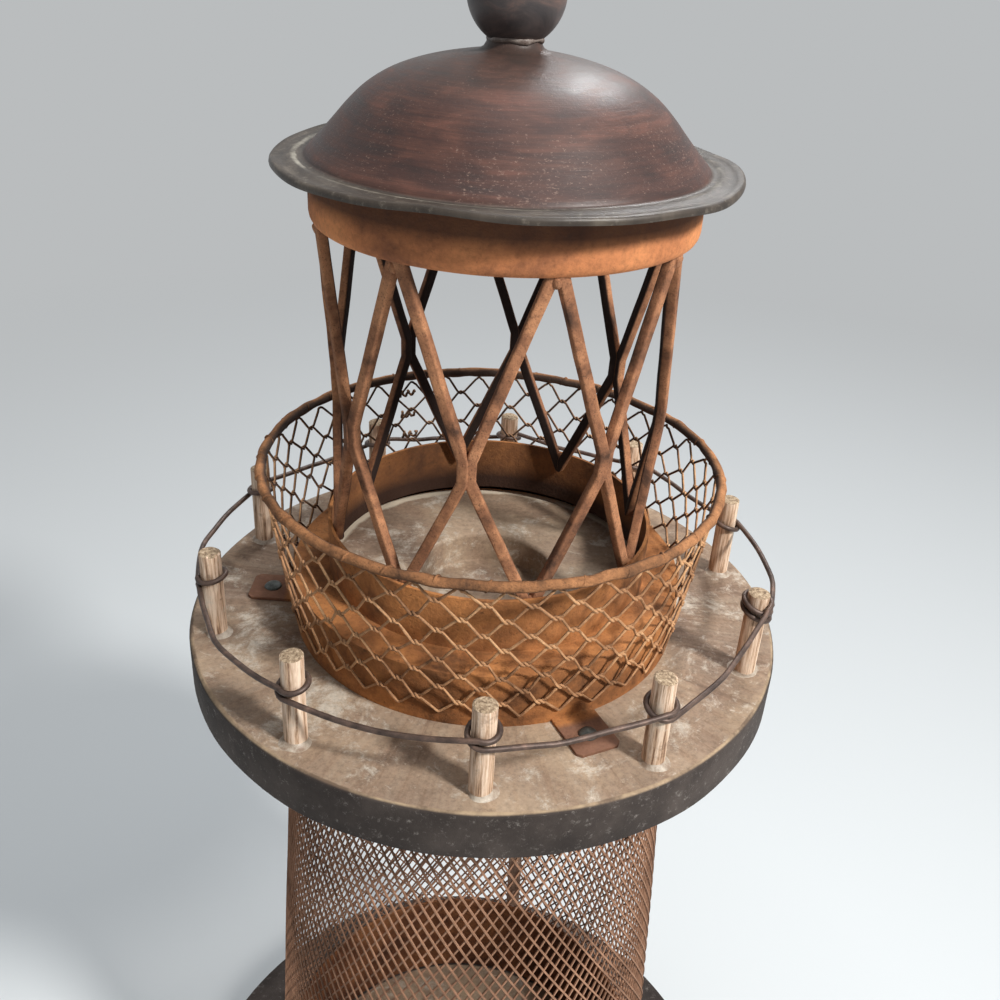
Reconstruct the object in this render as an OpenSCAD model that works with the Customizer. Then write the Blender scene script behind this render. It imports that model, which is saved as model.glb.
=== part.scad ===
// Lighthouse candle lantern: wooden boards, rusted sheet and wire, lift-off roof and deck.
// Millimetres. The origin is the middle of the underside of the base, +Z is up.
// Azimuths count from the front (-Y) towards +X.

/* [Base and tower] */
// Diameter of the round base board
base_d = 230; // [180:1:280]
// Thickness of the base board
base_t = 18; // [10:1:30]
// Outside diameter of the mesh tower at its top
tower_d = 122; // [100:1:160]
// Distance that the foot of the tower stands outside its top
tower_flare = 15.5; // [2:0.5:25]
// Height of the tower between the two boards
tower_h = 256; // [180:1:320]
// Thickness of the expanded mesh
mesh_t = 1.2; // [0.8:0.1:2.5]
// Openings round the tower mesh
mesh_columns = 20; // [16:1:30]
// Staggered rows of openings up the tower mesh
mesh_rows = 15; // [11:2:29]
// Width of the strands between the openings
strand_w = 1.6; // [0.8:0.1:3]
// Width of the lap strip down the back of the mesh
seam_w = 6; // [4:0.5:12]
// Azimuth of the lap strip
seam_azimuth = 163; // [120:1:240]
// Height of the sheet band round the tower floor
base_band_h = 50; // [20:1:80]
// Height of the sheet rim at the top of the tower
top_band_h = 12; // [8:1:25]
// Thickness of the rusted sheet
sheet_t = 1; // [0.6:0.1:2]

/* [Deck] */
// Diameter of the deck board
deck_d = 180; // [150:1:240]
// Thickness of the deck board
deck_t = 15.5; // [10:0.5:25]
// Chamfer on the edges of the boards
board_chamfer = 0.8; // [0.3:0.1:2]
// Depth of the plug under the deck
plug_h = 8; // [4:1:14]
// Clearance of the raised candle disc in the lower ring
candle_gap = 5.5; // [0.5:0.5:8]
// Height of the raised candle disc
candle_disc_h = 13; // [10:0.5:16]
// Diameter of the tealight recess
tealight_d = 40; // [38:0.5:60]
// Depth of the tealight recess
tealight_depth = 10; // [5:0.5:12]

/* [Rail] */
// Diameter of the rail posts
post_d = 6.5; // [5:0.5:12]
// Height of the rail posts
post_h = 28; // [23:1:45]
// Distance of the posts from the edge of the deck
post_inset = 8; // [6:0.5:14]
// Height of the rail wire above the deck
rail_z = 19.5; // [12:0.5:23]
// Thickness of the rail wire
rail_wire_d = 2; // [1.2:0.1:3]
// Rise of one turn of the rail wire round a post
rail_turn_rise = 2.7; // [2.5:0.1:4]

/* [Gallery] */
// Distance of the lower ring from the edge of the deck
ring_margin = 31.5; // [28:0.5:42]
// Height of the lower ring
ring_h = 17; // [15:0.5:25]
// Width of the step between the lower ring and the upper collar
ring_step = 10.5; // [4:0.5:14]
// Height of the top of the collar above the deck
collar_top = 33.5; // [30:0.5:44]
// Width of a nailed tab
tab_w = 13; // [8:0.5:20]
// Clearance between the tabs and the circle of posts
tab_gap = 5; // [1:0.5:8]
// Diameter of a nail's shank
nail_d = 2; // [1.5:0.1:3]
// Diameter of a nail's head
nail_head_d = 5.4; // [4:0.1:8]
// Height of a nail's head
nail_head_h = 1.1; // [0.6:0.1:2]
// Depth of a nail in the deck
nail_depth = 10; // [6:0.5:12]
// Distance that the hoop stands outside the lower ring
hoop_flare = 9.5; // [4:0.5:18]
// Height of the middle of the hoop above the deck
hoop_z = 50.5; // [46:0.5:60]
// Thickness of the hoop
hoop_wire_d = 3.2; // [2:0.1:5]
// Thickness of the netting wire
net_wire_d = 1; // [0.8:0.1:1.6]
// Hexagons round the netting
net_columns = 30; // [20:1:32]
// Rings of wire in the netting
net_rings = 8; // [6:1:10]
// Length of a twist between two hexagons
net_twist = 3; // [2:0.1:5]
// Height of the lower edge of the netting above the deck
net_foot_z = 4; // [3:0.5:8]

/* [Lantern room] */
// Pairs of lattice bars
lattice_count = 8; // [6:1:10]
// Azimuth of the first pair of bars
lattice_azimuth = 15; // [-22:1:22]
// Side of the square bars
bar_w = 3.2; // [2.5:0.1:5]
// Length of the welded stretch where two bars meet
kink_l = 6; // [2:0.5:12]
// Height of the welded stretch above the deck
kink_z = 70; // [62:0.5:85]
// Depth of the bars' feet inside the collar
foot_depth = 6; // [3:0.5:10]
// Height of the lower edge of the lantern band above the deck
band_z = 120.5; // [108:0.5:145]
// Height of the lantern band
band_h = 15; // [10:0.5:20]
// Distance that the lantern band stands outside the collar
band_flare = 2.5; // [1:0.5:10]
// Length of a bar's head on the inside of the band
head_l = 5; // [2:0.5:7]

/* [Roof] */
// Distance that the brim stands outside the lantern band
brim_overhang = 9; // [2:0.5:16]
// Width of the flat brim round the dome
brim_w = 8.5; // [6:0.5:18]
// Height of the dome above the brim
dome_h = 25; // [20:0.5:45]
// Turned-down edge of the brim
brim_drop = 0.8; // [0.2:0.1:3]
// Diameter of the finial ball
ball_d = 24; // [16:0.5:34]
// Diameter of the neck under the ball
neck_d = 13; // [9:0.5:15]
// Height of the neck above the dome
neck_h = 2.6; // [1:0.1:5]
// Clearance between the skirt under the brim and the heads of the bars
skirt_gap = 1; // [0.5:0.1:4]
// Diameter of the finial screw
screw_d = 3.5; // [2:0.1:5]
// Diameter of the finial screw's head
screw_head_d = 8; // [6:0.1:10]
// Height of the finial screw's head
screw_head_h = 2; // [1:0.1:3]
// Length of the finial screw inside the ball
screw_grip = 12; // [6:0.5:14]

/* [Hidden] */

$fn = 96;
// One overrun serves every cut
cut = 1;
// Clearance of flat and round pieces that rest in one another
seat_gap = 0.05;
// Clearance of the plug in the tower rim and of the skirt in the lantern band
lift_gap = 0.4;
// Clearance of the welded bars at their mitres
weld_gap = 0.02;

rust = [0.66, 0.38, 0.22];
dark_rust = [0.42, 0.25, 0.17];
dark_wood = [0.25, 0.21, 0.19];
deck_wood = [0.56, 0.49, 0.41];
raw_wood = [0.74, 0.64, 0.52];
iron = [0.27, 0.21, 0.18];
roof_brown = [0.27, 0.16, 0.13];
steel = [0.45, 0.46, 0.45];

// Heights of the pieces above the table
tower_z = base_t;
deck_z = base_t + tower_h;
top_z = deck_z + deck_t;
brim_z = top_z + band_z + band_h;

// Round pieces of the gallery and the roof, from the deck inwards
ring_d = deck_d - 2 * ring_margin;
candle_disc_d = ring_d - 2 * (sheet_t + candle_gap);
tab_l = ring_margin - post_inset - post_d / 2 - tab_gap;
hoop_d = ring_d + 2 * hoop_flare;
collar_d = ring_d - 2 * ring_step;
band_d = collar_d + 2 * band_flare;
brim_d = band_d + 2 * brim_overhang;
dome_d = brim_d - 2 * brim_w;
skirt_h = band_h - head_l - skirt_gap;

// Radii that fit inside the faceted mesh tube, which widens towards its foot
tower_r = tower_d / 2;
mesh_sector = 180 / mesh_columns;
seam_t = sheet_t;
function flare(z) = tower_flare * (deck_z - z) / tower_h;
function mesh_bore_r(z) = (tower_r - mesh_t + flare(z)) * cos(mesh_sector / 2) - seat_gap;
function band_r(z) = mesh_bore_r(z) - seam_t - seat_gap;

function at(r, azimuth, z) = [r * sin(azimuth), -r * cos(azimuth), z];
function mix(a, b, t) = a + (b - a) * t;
function unit(v) = v / norm(v);

// A wall that leans with the mesh: its outer radius at its foot and at its head
module leaning_wall(low_r, high_r, wall, height) {
    rotate_extrude() polygon([[low_r - wall, 0], [low_r, 0], [high_r, height], [high_r - wall, height]]);
}

module ring_wall(outer_r, wall, height) {
    difference() {
        cylinder(r = outer_r, h = height);
        translate([0, 0, -cut]) cylinder(r = outer_r - wall, h = height + 2 * cut);
    }
}

module board(diameter, thickness) {
    r = diameter / 2;
    c = board_chamfer;
    rotate_extrude()
        polygon([[0, 0], [r - c, 0], [r, c], [r, thickness - c], [r - c, thickness], [0, thickness]]);
}

// Tower

module base_disc() {
    color(dark_wood) board(base_d, base_t);
}

module base_collar() {
    color(rust) translate([0, 0, tower_z])
        leaning_wall(band_r(tower_z), band_r(tower_z + base_band_h), sheet_t, base_band_h);
}

module tower_top_band() {
    low_z = deck_z - top_band_h;
    color(rust) translate([0, 0, low_z])
        leaning_wall(band_r(low_z), band_r(deck_z), sheet_t, top_band_h);
}

// The openings are diamonds: each has its left, upper, right and lower corner.
mesh_pitch = 360 / mesh_columns;
mesh_row_h = tower_h / (mesh_rows + 1);
strand_turn = strand_w / tower_r * 180 / PI;
strand_rise = strand_w * mesh_row_h / (tower_d * PI / mesh_columns / 2);
// A point of the mesh, from its radius at the top of the tower
function mesh_at(r, azimuth, z) = at(r + flare(z), azimuth, z);
function mesh_corner(row, column, corner, r) =
    let (
        azimuth = mesh_pitch * (column + (row % 2) / 2),
        z = tower_z + mesh_row_h * (row + 1),
        half_turn = mesh_pitch / 2 - strand_turn / 2,
        half_rise = mesh_row_h - strand_rise / 2
    )
    corner == 0 ? mesh_at(r, azimuth - half_turn, z)
    : corner == 1 ? mesh_at(r, azimuth, z + half_rise)
    : corner == 2 ? mesh_at(r, azimuth + half_turn, z)
    : mesh_at(r, azimuth, z - half_rise);

mesh_holes = mesh_rows * mesh_columns;
// Border points below and above the pattern: two for each column
function mesh_border(level, step, r) =
    let (shift = level == 0 ? 0 : ((mesh_rows - 1) % 2) / 2)
    mesh_at(r, mesh_pitch * (step / 2 + shift), tower_z + level * tower_h);

function mesh_skin(r) = concat(
    [for (row = [0:mesh_rows - 1]) for (column = [0:mesh_columns - 1]) for (corner = [0:3])
        mesh_corner(row, column, corner, r)],
    [for (level = [0:1]) for (step = [0:2 * mesh_columns - 1]) mesh_border(level, step, r)]
);
mesh_skin_n = 4 * mesh_holes + 4 * mesh_columns;
function hole_point(row, column, corner) =
    4 * (row * mesh_columns + (column + mesh_columns) % mesh_columns) + corner;
function border_point(level, step) =
    4 * mesh_holes + level * 2 * mesh_columns + (step + 2 * mesh_columns) % (2 * mesh_columns);
// The opening up and to the right of one opening
function right_above(row, column) = column + row % 2;
// The faces of the outer skin, wound one way
mesh_faces = concat(
    [for (row = [0:mesh_rows - 2]) for (column = [0:mesh_columns - 1])
        [hole_point(row, column, 1), hole_point(row + 1, right_above(row, column), 0),
            hole_point(row + 1, right_above(row, column), 3), hole_point(row, column, 2)]],
    [for (row = [0:mesh_rows - 2]) for (column = [0:mesh_columns - 1])
        [hole_point(row, column, 1), hole_point(row, column, 0),
            hole_point(row + 1, right_above(row, column) - 1, 3),
            hole_point(row + 1, right_above(row, column) - 1, 2)]],
    [for (row = [1:mesh_rows - 2]) for (column = [0:mesh_columns - 1])
        [hole_point(row, column, 2), hole_point(row + 1, right_above(row, column), 3),
            hole_point(row, column + 1, 0), hole_point(row - 1, right_above(row, column), 1)]],
    [for (column = [0:mesh_columns - 1])
        [hole_point(0, column, 2), hole_point(1, right_above(0, column), 3),
            hole_point(0, column + 1, 0), border_point(0, 2 * column + 1)]],
    [for (column = [0:mesh_columns - 1])
        [hole_point(0, column, 3), hole_point(0, column, 2),
            border_point(0, 2 * column + 1), border_point(0, 2 * column)]],
    [for (column = [0:mesh_columns - 1])
        [border_point(0, 2 * column - 1), hole_point(0, column, 0),
            hole_point(0, column, 3), border_point(0, 2 * column)]],
    [for (column = [0:mesh_columns - 1])
        [hole_point(mesh_rows - 1, column, 2), border_point(1, 2 * column + 1),
            hole_point(mesh_rows - 1, column + 1, 0),
            hole_point(mesh_rows - 2, right_above(mesh_rows - 1, column), 1)]],
    [for (column = [0:mesh_columns - 1])
        [hole_point(mesh_rows - 1, column, 2), hole_point(mesh_rows - 1, column, 1),
            border_point(1, 2 * column), border_point(1, 2 * column + 1)]],
    [for (column = [0:mesh_columns - 1])
        [hole_point(mesh_rows - 1, column, 1), hole_point(mesh_rows - 1, column, 0),
            border_point(1, 2 * column - 1), border_point(1, 2 * column)]]
);
// The sides of the openings and of the two rims
mesh_walls = concat(
    [for (row = [0:mesh_rows - 1]) for (column = [0:mesh_columns - 1]) for (corner = [0:3])
        let (a = hole_point(row, column, corner), b = hole_point(row, column, (corner + 1) % 4))
        [a, b, b + mesh_skin_n, a + mesh_skin_n]],
    [for (step = [0:2 * mesh_columns - 1])
        let (a = border_point(0, step), b = border_point(0, step + 1))
        [b, b + mesh_skin_n, a + mesh_skin_n, a]],
    [for (step = [0:2 * mesh_columns - 1])
        let (a = border_point(1, step), b = border_point(1, step + 1))
        [a, a + mesh_skin_n, b + mesh_skin_n, b]]
);
function halves(face) = [[face[0], face[1], face[2]], [face[0], face[2], face[3]]];
function turned(face) = [face[2], face[1], face[0]];

module tower_mesh() {
    outer = [for (face = mesh_faces) for (half = halves(face)) half];
    inner = [for (face = outer) [for (i = turned(face)) i + mesh_skin_n]];
    walls = [for (face = mesh_walls) for (half = halves(face)) half];
    color(rust)
        polyhedron(
            points = concat(mesh_skin(tower_r), mesh_skin(tower_r - mesh_t)),
            faces = concat(outer, inner, walls)
        );
}

module mesh_seam() {
    gap_h = tower_h - base_band_h - top_band_h - 2 * seat_gap;
    low_z = tower_z + base_band_h + seat_gap;
    low_r = mesh_bore_r(low_z) - seat_gap;
    high_r = mesh_bore_r(low_z + gap_h) - seat_gap;
    color(dark_rust) rotate([0, 0, seam_azimuth]) translate([0, 0, low_z]) intersection() {
        leaning_wall(low_r, high_r, seam_t, gap_h);
        translate([-seam_w / 2, -tower_d, 0]) cube([seam_w, tower_d, gap_h]);
    }
}

// Deck

tab_azimuths = [26, 147, 269];
nail_r = ring_d / 2 + tab_l / 2 + sheet_t;

module each_tab() {
    for (azimuth = tab_azimuths) rotate([0, 0, azimuth]) children();
}

module deck() {
    color(deck_wood) translate([0, 0, deck_z]) difference() {
        board(deck_d, deck_t);
        each_tab() translate([0, -nail_r, deck_t - nail_depth - seat_gap])
            cylinder(d = nail_d + 2 * seat_gap, h = nail_depth + seat_gap + cut);
    }
}

module deck_plug() {
    plug_r = band_r(deck_z) - sheet_t - lift_gap;
    color(dark_wood) translate([0, 0, deck_z - plug_h]) rotate_extrude()
        polygon([[0, 0], [plug_r - board_chamfer, 0], [plug_r, board_chamfer], [plug_r, plug_h], [0, plug_h]]);
}

module candle_disc() {
    r = candle_disc_d / 2;
    c = board_chamfer;
    cup = tealight_d / 2;
    floor_z = candle_disc_h - tealight_depth;
    color(deck_wood) translate([0, 0, top_z]) rotate_extrude()
        polygon([
            [0, 0], [r, 0], [r, candle_disc_h - c], [r - c, candle_disc_h],
            [cup + c, candle_disc_h], [cup, candle_disc_h - c], [cup, floor_z], [0, floor_z]
        ]);
}

// Gallery

module gallery_ring() {
    lower_r = ring_d / 2;
    upper_r = collar_d / 2;
    color(rust) translate([0, 0, top_z]) {
        difference() {
            union() {
                rotate_extrude() polygon([
                    [lower_r - sheet_t, 0], [lower_r, 0], [lower_r, ring_h], [upper_r, ring_h],
                    [upper_r, collar_top], [upper_r - sheet_t, collar_top],
                    [upper_r - sheet_t, ring_h - sheet_t], [lower_r - sheet_t, ring_h - sheet_t]
                ]);
                each_tab() tab();
            }
            each_tab() translate([0, -nail_r, -cut])
                cylinder(d = nail_d + 2 * seat_gap, h = sheet_t + 2 * cut);
        }
    }
}

tab_corner_share = 0.1;
// A tab starts in the wall of the ring and has its outer corners cut
module tab() {
    inner = ring_d / 2 - sheet_t / 2;
    outer = ring_d / 2 + tab_l;
    corner = tab_w * tab_corner_share;
    linear_extrude(height = sheet_t) polygon([
        [-tab_w / 2, -inner], [-tab_w / 2, -outer + corner], [-tab_w / 2 + corner, -outer],
        [tab_w / 2 - corner, -outer], [tab_w / 2, -outer + corner], [tab_w / 2, -inner]
    ]);
}
module gallery_nails() {
    color(steel) each_tab() translate([0, -nail_r, top_z]) rotate_extrude()
        polygon([
            [0, -nail_depth], [nail_d / 2, nail_d - nail_depth], [nail_d / 2, sheet_t],
            [nail_head_d / 2, sheet_t], [nail_head_d / 2, sheet_t + nail_head_h / 2],
            [nail_head_d / 4, sheet_t + nail_head_h], [0, sheet_t + nail_head_h]
        ]);
}

hoop_r = hoop_d / 2 - hoop_wire_d / 2;

module gallery_hoop() {
    color(rust) translate([0, 0, top_z + hoop_z]) rotate_extrude()
        translate([hoop_r, 0]) circle(d = hoop_wire_d, $fn = 48);
}

// The netting hangs from the hoop and ends on the lower ring.
net_foot = [ring_d / 2 + net_wire_d / 2 + seat_gap, net_foot_z];
net_rise = unit([hoop_r, hoop_z] - net_foot);
net_head = [hoop_r, hoop_z] - net_rise * (hoop_wire_d + net_wire_d) / 2;
net_pitch = 360 / net_columns;
net_slope = net_head - net_foot;
net_out = [net_slope[1], -net_slope[0]] / norm(net_slope);
twist_lap_share = 0.35;

// One point of a ring of wire: its middle, or a corner of its square section
function net_point(share, azimuth, out, up) =
    let (p = net_foot + net_slope * share + net_out * out + unit(net_slope) * up)
    at(p[0], azimuth, top_z + p[1]);

function net_turn(share) = net_twist / 2 / norm(net_foot + net_slope * share) * 180 / PI;

function ring_middle(k, i) =
    let (
        step = floor(i / 4),
        place = i % 4,
        high = place > 1,
        share = (k + (high ? 1 : 0)) / net_rings,
        azimuth = net_pitch * (step + (k % 2) / 2 + (high ? 0.5 : 0)),
        radius = net_foot[0] + net_slope[0] * share,
        half_turn = net_twist / 2 / radius * 180 / PI,
        lap = net_wire_d * twist_lap_share * (high ? -1 : 1)
    )
    [share, azimuth + (place % 2 == 0 ? -half_turn : half_turn), lap];

module ring_of_wire(k) {
    n = 4 * net_columns;
    half = net_wire_d / 2;
    corners = [[half, 0], [0, half], [-half, 0], [0, -half]];
    points = [for (i = [0:n - 1]) for (c = corners)
        let (m = ring_middle(k, i)) net_point(m[0], m[1], c[0], c[1] + m[2])];
    faces = [for (i = [0:n - 1]) for (j = [0:3])
        let (a = 4 * i + j, b = 4 * i + (j + 1) % 4, d = 4 * ((i + 1) % n) + j, e = 4 * ((i + 1) % n) + (j + 1) % 4)
        for (half_face = [[a, b, e], [a, e, d]]) half_face];
    polyhedron(points = points, faces = faces);
}

module gallery_net() {
    color(dark_rust) union() {
        for (k = [0:net_rings - 1]) ring_of_wire(k);
    }
}

// Rail

post_azimuths = [1, 34, 70, 108, 142, 176, 211, 248, 286, 325];
post_count = len(post_azimuths);
post_r = deck_d / 2 - post_inset;
post_chamfer_share = 0.06;

module rail_post(i) {
    c = post_d * post_chamfer_share;
    color(raw_wood) translate(at(post_r, post_azimuths[i], top_z)) rotate_extrude()
        polygon([[0, 0], [post_d / 2, 0], [post_d / 2, post_h - c], [post_d / 2 - c, post_h], [0, post_h]]);
}

module rail_post_01() rail_post(0);
module rail_post_02() rail_post(1);
module rail_post_03() rail_post(2);
module rail_post_04() rail_post(3);
module rail_post_05() rail_post(4);
module rail_post_06() rail_post(5);
module rail_post_07() rail_post(6);
module rail_post_08() rail_post(7);
module rail_post_09() rail_post(8);
module rail_post_10() rail_post(9);

// The wire goes once round each post, twice where its ends meet, and bows between them.
rail_turns = [1, 1, 2, 1, 1, 1, 1, 1, 1, 1];
// Bow and sag of each span as shares of the span
rail_bow_shares = [0.03, 0.02, 0.10, 0.03, 0.02, 0.03, 0.03, 0.10, 0.08, 0.03];
rail_sag_shares = [0.02, 0.06, 0.02, 0.02, 0.03, 0.02, 0.02, 0.02, 0.05, 0.05];
turn_steps = 12;
span_steps = 5;
rail_sides = 6;

function post_azimuth(i) =
    i < 0 ? post_azimuths[i + post_count] - 360
    : i >= post_count ? post_azimuths[i - post_count] + 360
    : post_azimuths[i];
function turn_point(i, azimuth, z) =
    let (r = (post_d / 2 + rail_wire_d / 2 + seat_gap) / cos(180 / turn_steps))
    at(post_r, post_azimuth(i), top_z + z) + at(r, azimuth, 0);
function turn_start(i) = (post_azimuth(i - 1) + post_azimuth(i)) / 2;
function turn_end(i) = (post_azimuth(i) + post_azimuth(i + 1)) / 2 + 360 * rail_turns[i % post_count];
function turn_rise(i) = rail_turn_rise * rail_turns[i % post_count];
function post_turn(i) =
    let (n = turn_steps * rail_turns[i] + 1)
    [for (k = [0:n]) turn_point(i, mix(turn_start(i), turn_end(i), k / n), rail_z + turn_rise(i) * (1 / 2 - k / n))];
function span(i) =
    let (
        a = turn_point(i, turn_end(i), rail_z - turn_rise(i) / 2),
        b = turn_point(i + 1, turn_start(i + 1), rail_z + turn_rise(i + 1) / 2),
        middle = (post_azimuth(i) + post_azimuth(i + 1)) / 2,
        reach = norm(b - a)
    )
    [for (k = [1:span_steps - 1])
        mix(a, b, k / span_steps)
            + at(reach * rail_bow_shares[i], middle, -reach * rail_sag_shares[i]) * sin(180 * k / span_steps)];
rail_route = [for (i = [0:post_count - 1]) for (p = concat(post_turn(i), span(i))) p];

module rail_wire() {
    n = len(rail_route);
    points = [for (i = [0:n - 1])
        let (
            ahead = unit(rail_route[(i + 1) % n] - rail_route[(i + n - 1) % n]),
            side = unit(cross(ahead, [0, 0, 1])),
            up = cross(side, ahead)
        )
        for (j = [0:rail_sides - 1])
            let (a = 360 * (j + 0.5) / rail_sides)
            rail_route[i] + rail_wire_d / 2 * (side * cos(a) + up * sin(a))];
    faces = [for (i = [0:n - 1]) for (j = [0:rail_sides - 1])
        let (
            a = rail_sides * i + j,
            b = rail_sides * i + (j + 1) % rail_sides,
            d = rail_sides * ((i + 1) % n) + j,
            e = rail_sides * ((i + 1) % n) + (j + 1) % rail_sides
        )
        for (half_face = [[a, b, e], [a, e, d]]) half_face];
    color(iron) polyhedron(points = points, faces = faces);
}

// Lantern room

half_sector = 180 / lattice_count;
// The bars lie in planes that lean outwards from the collar to the band.
bar_corner_r = bar_w / 2 / cos(half_sector / 2);
foot_r = collar_d / 2 - sheet_t - bar_corner_r - seat_gap;
head_r = band_d / 2 - sheet_t - bar_corner_r - seat_gap;
foot_z = collar_top - foot_depth;
head_z = band_z + head_l;
lean_rate = (head_r - foot_r) / (head_z - collar_top);
function bar_r(z) = foot_r + (z - collar_top) * lean_rate;
lean = atan(lean_rate * cos(half_sector / 2));

// Outline of a bar from its middle line, in the leaning plane
function side_step(a, b, w) = let (d = unit(b - a)) [d[1], -d[0]] * w;
function bend(a, b, c, w) =
    let (
        u = side_step(a, b, w) / w,
        v = side_step(b, c, w) / w
    )
    b + (u + v) * w / (1 + u * v);
function outline(p, w) = [
    p[0] + side_step(p[0], p[1], w), bend(p[0], p[1], p[2], w), bend(p[1], p[2], p[3], w),
    p[3] + side_step(p[2], p[3], w)
];

module bar_shape() {
    up_head = (head_z - kink_z) / cos(lean);
    up_foot = (foot_z - kink_z) / cos(lean);
    turn = sin(half_sector / 2);
    kink_u = bar_r(kink_z) * turn - bar_w / 2;
    head = [-bar_r(head_z) * turn, up_head];
    foot = [-bar_r(foot_z) * turn, up_foot];
    top_kink = [kink_u, kink_l / 2];
    low_kink = [kink_u, -kink_l / 2];
    // Both ends run on past the cuts that the sector makes
    over_head = head + unit(head - top_kink) * bar_w;
    over_foot = foot + unit(foot - low_kink) * bar_w;
    line = [over_head, top_kink, low_kink, over_foot];
    back = [over_foot, low_kink, top_kink, over_head];
    reach = band_d;
    intersection() {
        rotate([0, 0, half_sector / 2])
            translate([0, -bar_r(kink_z) * cos(half_sector / 2), kink_z])
            rotate([90 + lean, 0, 0])
            linear_extrude(height = bar_w, center = true)
            polygon(concat(outline(line, bar_w / 2), outline(back, bar_w / 2)));
        rotate([0, 0, half_sector / 2])
            translate([0, -weld_gap / sin(half_sector / 2), foot_z])
            linear_extrude(height = head_z - foot_z)
            polygon([[0, 0], [-reach * tan(half_sector / 2), -reach], [reach * tan(half_sector / 2), -reach]]);
    }
}

// Odd bars lean to the right at the middle, even bars to the left
module lattice_bar(i) {
    pair = floor((i - 1) / 2);
    if (pair < lattice_count)
        color(dark_rust) translate([0, 0, top_z])
            rotate([0, 0, lattice_azimuth + pair * 2 * half_sector])
            mirror([i % 2 == 0 ? 1 : 0, 0, 0])
            bar_shape();
}

module lattice_bar_01() lattice_bar(1);
module lattice_bar_02() lattice_bar(2);
module lattice_bar_03() lattice_bar(3);
module lattice_bar_04() lattice_bar(4);
module lattice_bar_05() lattice_bar(5);
module lattice_bar_06() lattice_bar(6);
module lattice_bar_07() lattice_bar(7);
module lattice_bar_08() lattice_bar(8);
module lattice_bar_09() lattice_bar(9);
module lattice_bar_10() lattice_bar(10);
module lattice_bar_11() lattice_bar(11);
module lattice_bar_12() lattice_bar(12);
module lattice_bar_13() lattice_bar(13);
module lattice_bar_14() lattice_bar(14);
module lattice_bar_15() lattice_bar(15);
module lattice_bar_16() lattice_bar(16);

module lantern_band() {
    color(rust) translate([0, 0, top_z + band_z]) ring_wall(band_d / 2, sheet_t, band_h);
}

// Roof

// Dome from its foot to its crown: shares of the radius and of the height
dome_shares = [
    [1, 0], [0.985, 0.045], [0.93, 0.16], [0.86, 0.32], [0.79, 0.48], [0.71, 0.63], [0.61, 0.76],
    [0.5, 0.855], [0.38, 0.925], [0.25, 0.975], [0.16, 1]
];
curve_steps = 3;
function spline(a, b, c, d, t) =
    (2 * b + (c - a) * t + (2 * a - 5 * b + 4 * c - d) * t * t + (3 * b - a - 3 * c + d) * t * t * t) / 2;
function smooth(p) = [for (i = [0:len(p) - 2]) for (k = [0:curve_steps - 1])
    spline(p[max(i - 1, 0)], p[i], p[i + 1], p[min(i + 2, len(p) - 1)], k / curve_steps)];

function dome_points(inset) = [for (s = smooth(dome_shares))
    [s[0] * (dome_d / 2 - inset), sheet_t + s[1] * (dome_h - inset)]];

ball_r = ball_d / 2;
neck_top_z = sheet_t + dome_h + neck_h;
// The ball rests on the rim of the neck
ball_z = neck_top_z + sqrt(ball_r * ball_r - neck_d * neck_d / 4) + seat_gap;
neck_bore_r = screw_d / 2 + seat_gap;
screw_seat_r = screw_head_d / 2 + seat_gap;
neck_floor_z = dome_h;
cup_z = ball_z - ball_r - seat_gap;
neck_flare_share = 0.75;

module roof_dome() {
    outer = dome_points(0);
    inner = dome_points(sheet_t);
    crown = outer[len(outer) - 1];
    color(roof_brown) translate([0, 0, brim_z]) rotate_extrude() polygon(concat(
        [[dome_d / 2 - sheet_t, 0], [brim_d / 2 - sheet_t, 0], [brim_d / 2 - sheet_t / 2, -brim_drop],
            [brim_d / 2, -brim_drop], [brim_d / 2, sheet_t / 2], [brim_d / 2 - sheet_t / 2, sheet_t]],
        outer,
        [[(crown[0] + neck_d / 2) / 2, neck_top_z - neck_h * neck_flare_share], [neck_d / 2, neck_top_z],
            [neck_d / 4 + neck_bore_r / 2, cup_z], [neck_bore_r, cup_z], [neck_bore_r, neck_floor_z],
            [screw_seat_r, neck_floor_z]],
        [for (i = [len(inner) - 1:-1:0]) inner[i]]
    ));
}

module roof_skirt() {
    skirt_r = band_d / 2 - sheet_t - lift_gap;
    color(rust) translate([0, 0, brim_z - skirt_h]) ring_wall(skirt_r, sheet_t, skirt_h);
}

module finial_ball() {
    color(roof_brown) translate([0, 0, brim_z + ball_z]) difference() {
        sphere(r = ball_r);
        translate([0, 0, -ball_r - cut])
            cylinder(d = screw_d + 2 * seat_gap, h = screw_grip + cut + seat_gap);
    }
}

module finial_screw() {
    top = ball_z - ball_r + screw_grip;
    seat = neck_floor_z;
    color(steel) translate([0, 0, brim_z]) rotate_extrude() polygon([
        [0, seat - screw_head_h], [screw_head_d / 2, seat - screw_head_h], [screw_head_d / 2, seat],
        [screw_d / 2, seat], [screw_d / 2, top - screw_d], [0, top]
    ]);
}

base_disc();
base_collar();
tower_mesh();
mesh_seam();
tower_top_band();
deck();
deck_plug();
candle_disc();
gallery_ring();
gallery_nails();
gallery_net();
gallery_hoop();
rail_wire();
rail_post_01();
rail_post_02();
rail_post_03();
rail_post_04();
rail_post_05();
rail_post_06();
rail_post_07();
rail_post_08();
rail_post_09();
rail_post_10();
lattice_bar_01();
lattice_bar_02();
lattice_bar_03();
lattice_bar_04();
lattice_bar_05();
lattice_bar_06();
lattice_bar_07();
lattice_bar_08();
lattice_bar_09();
lattice_bar_10();
lattice_bar_11();
lattice_bar_12();
lattice_bar_13();
lattice_bar_14();
lattice_bar_15();
lattice_bar_16();
lantern_band();
roof_dome();
roof_skirt();
finial_ball();
finial_screw();
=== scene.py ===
import random
from math import atan2, cos, degrees, hypot, pi, radians, sin

import bmesh
import bpy
from mathutils import Matrix, Vector, noise


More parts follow.
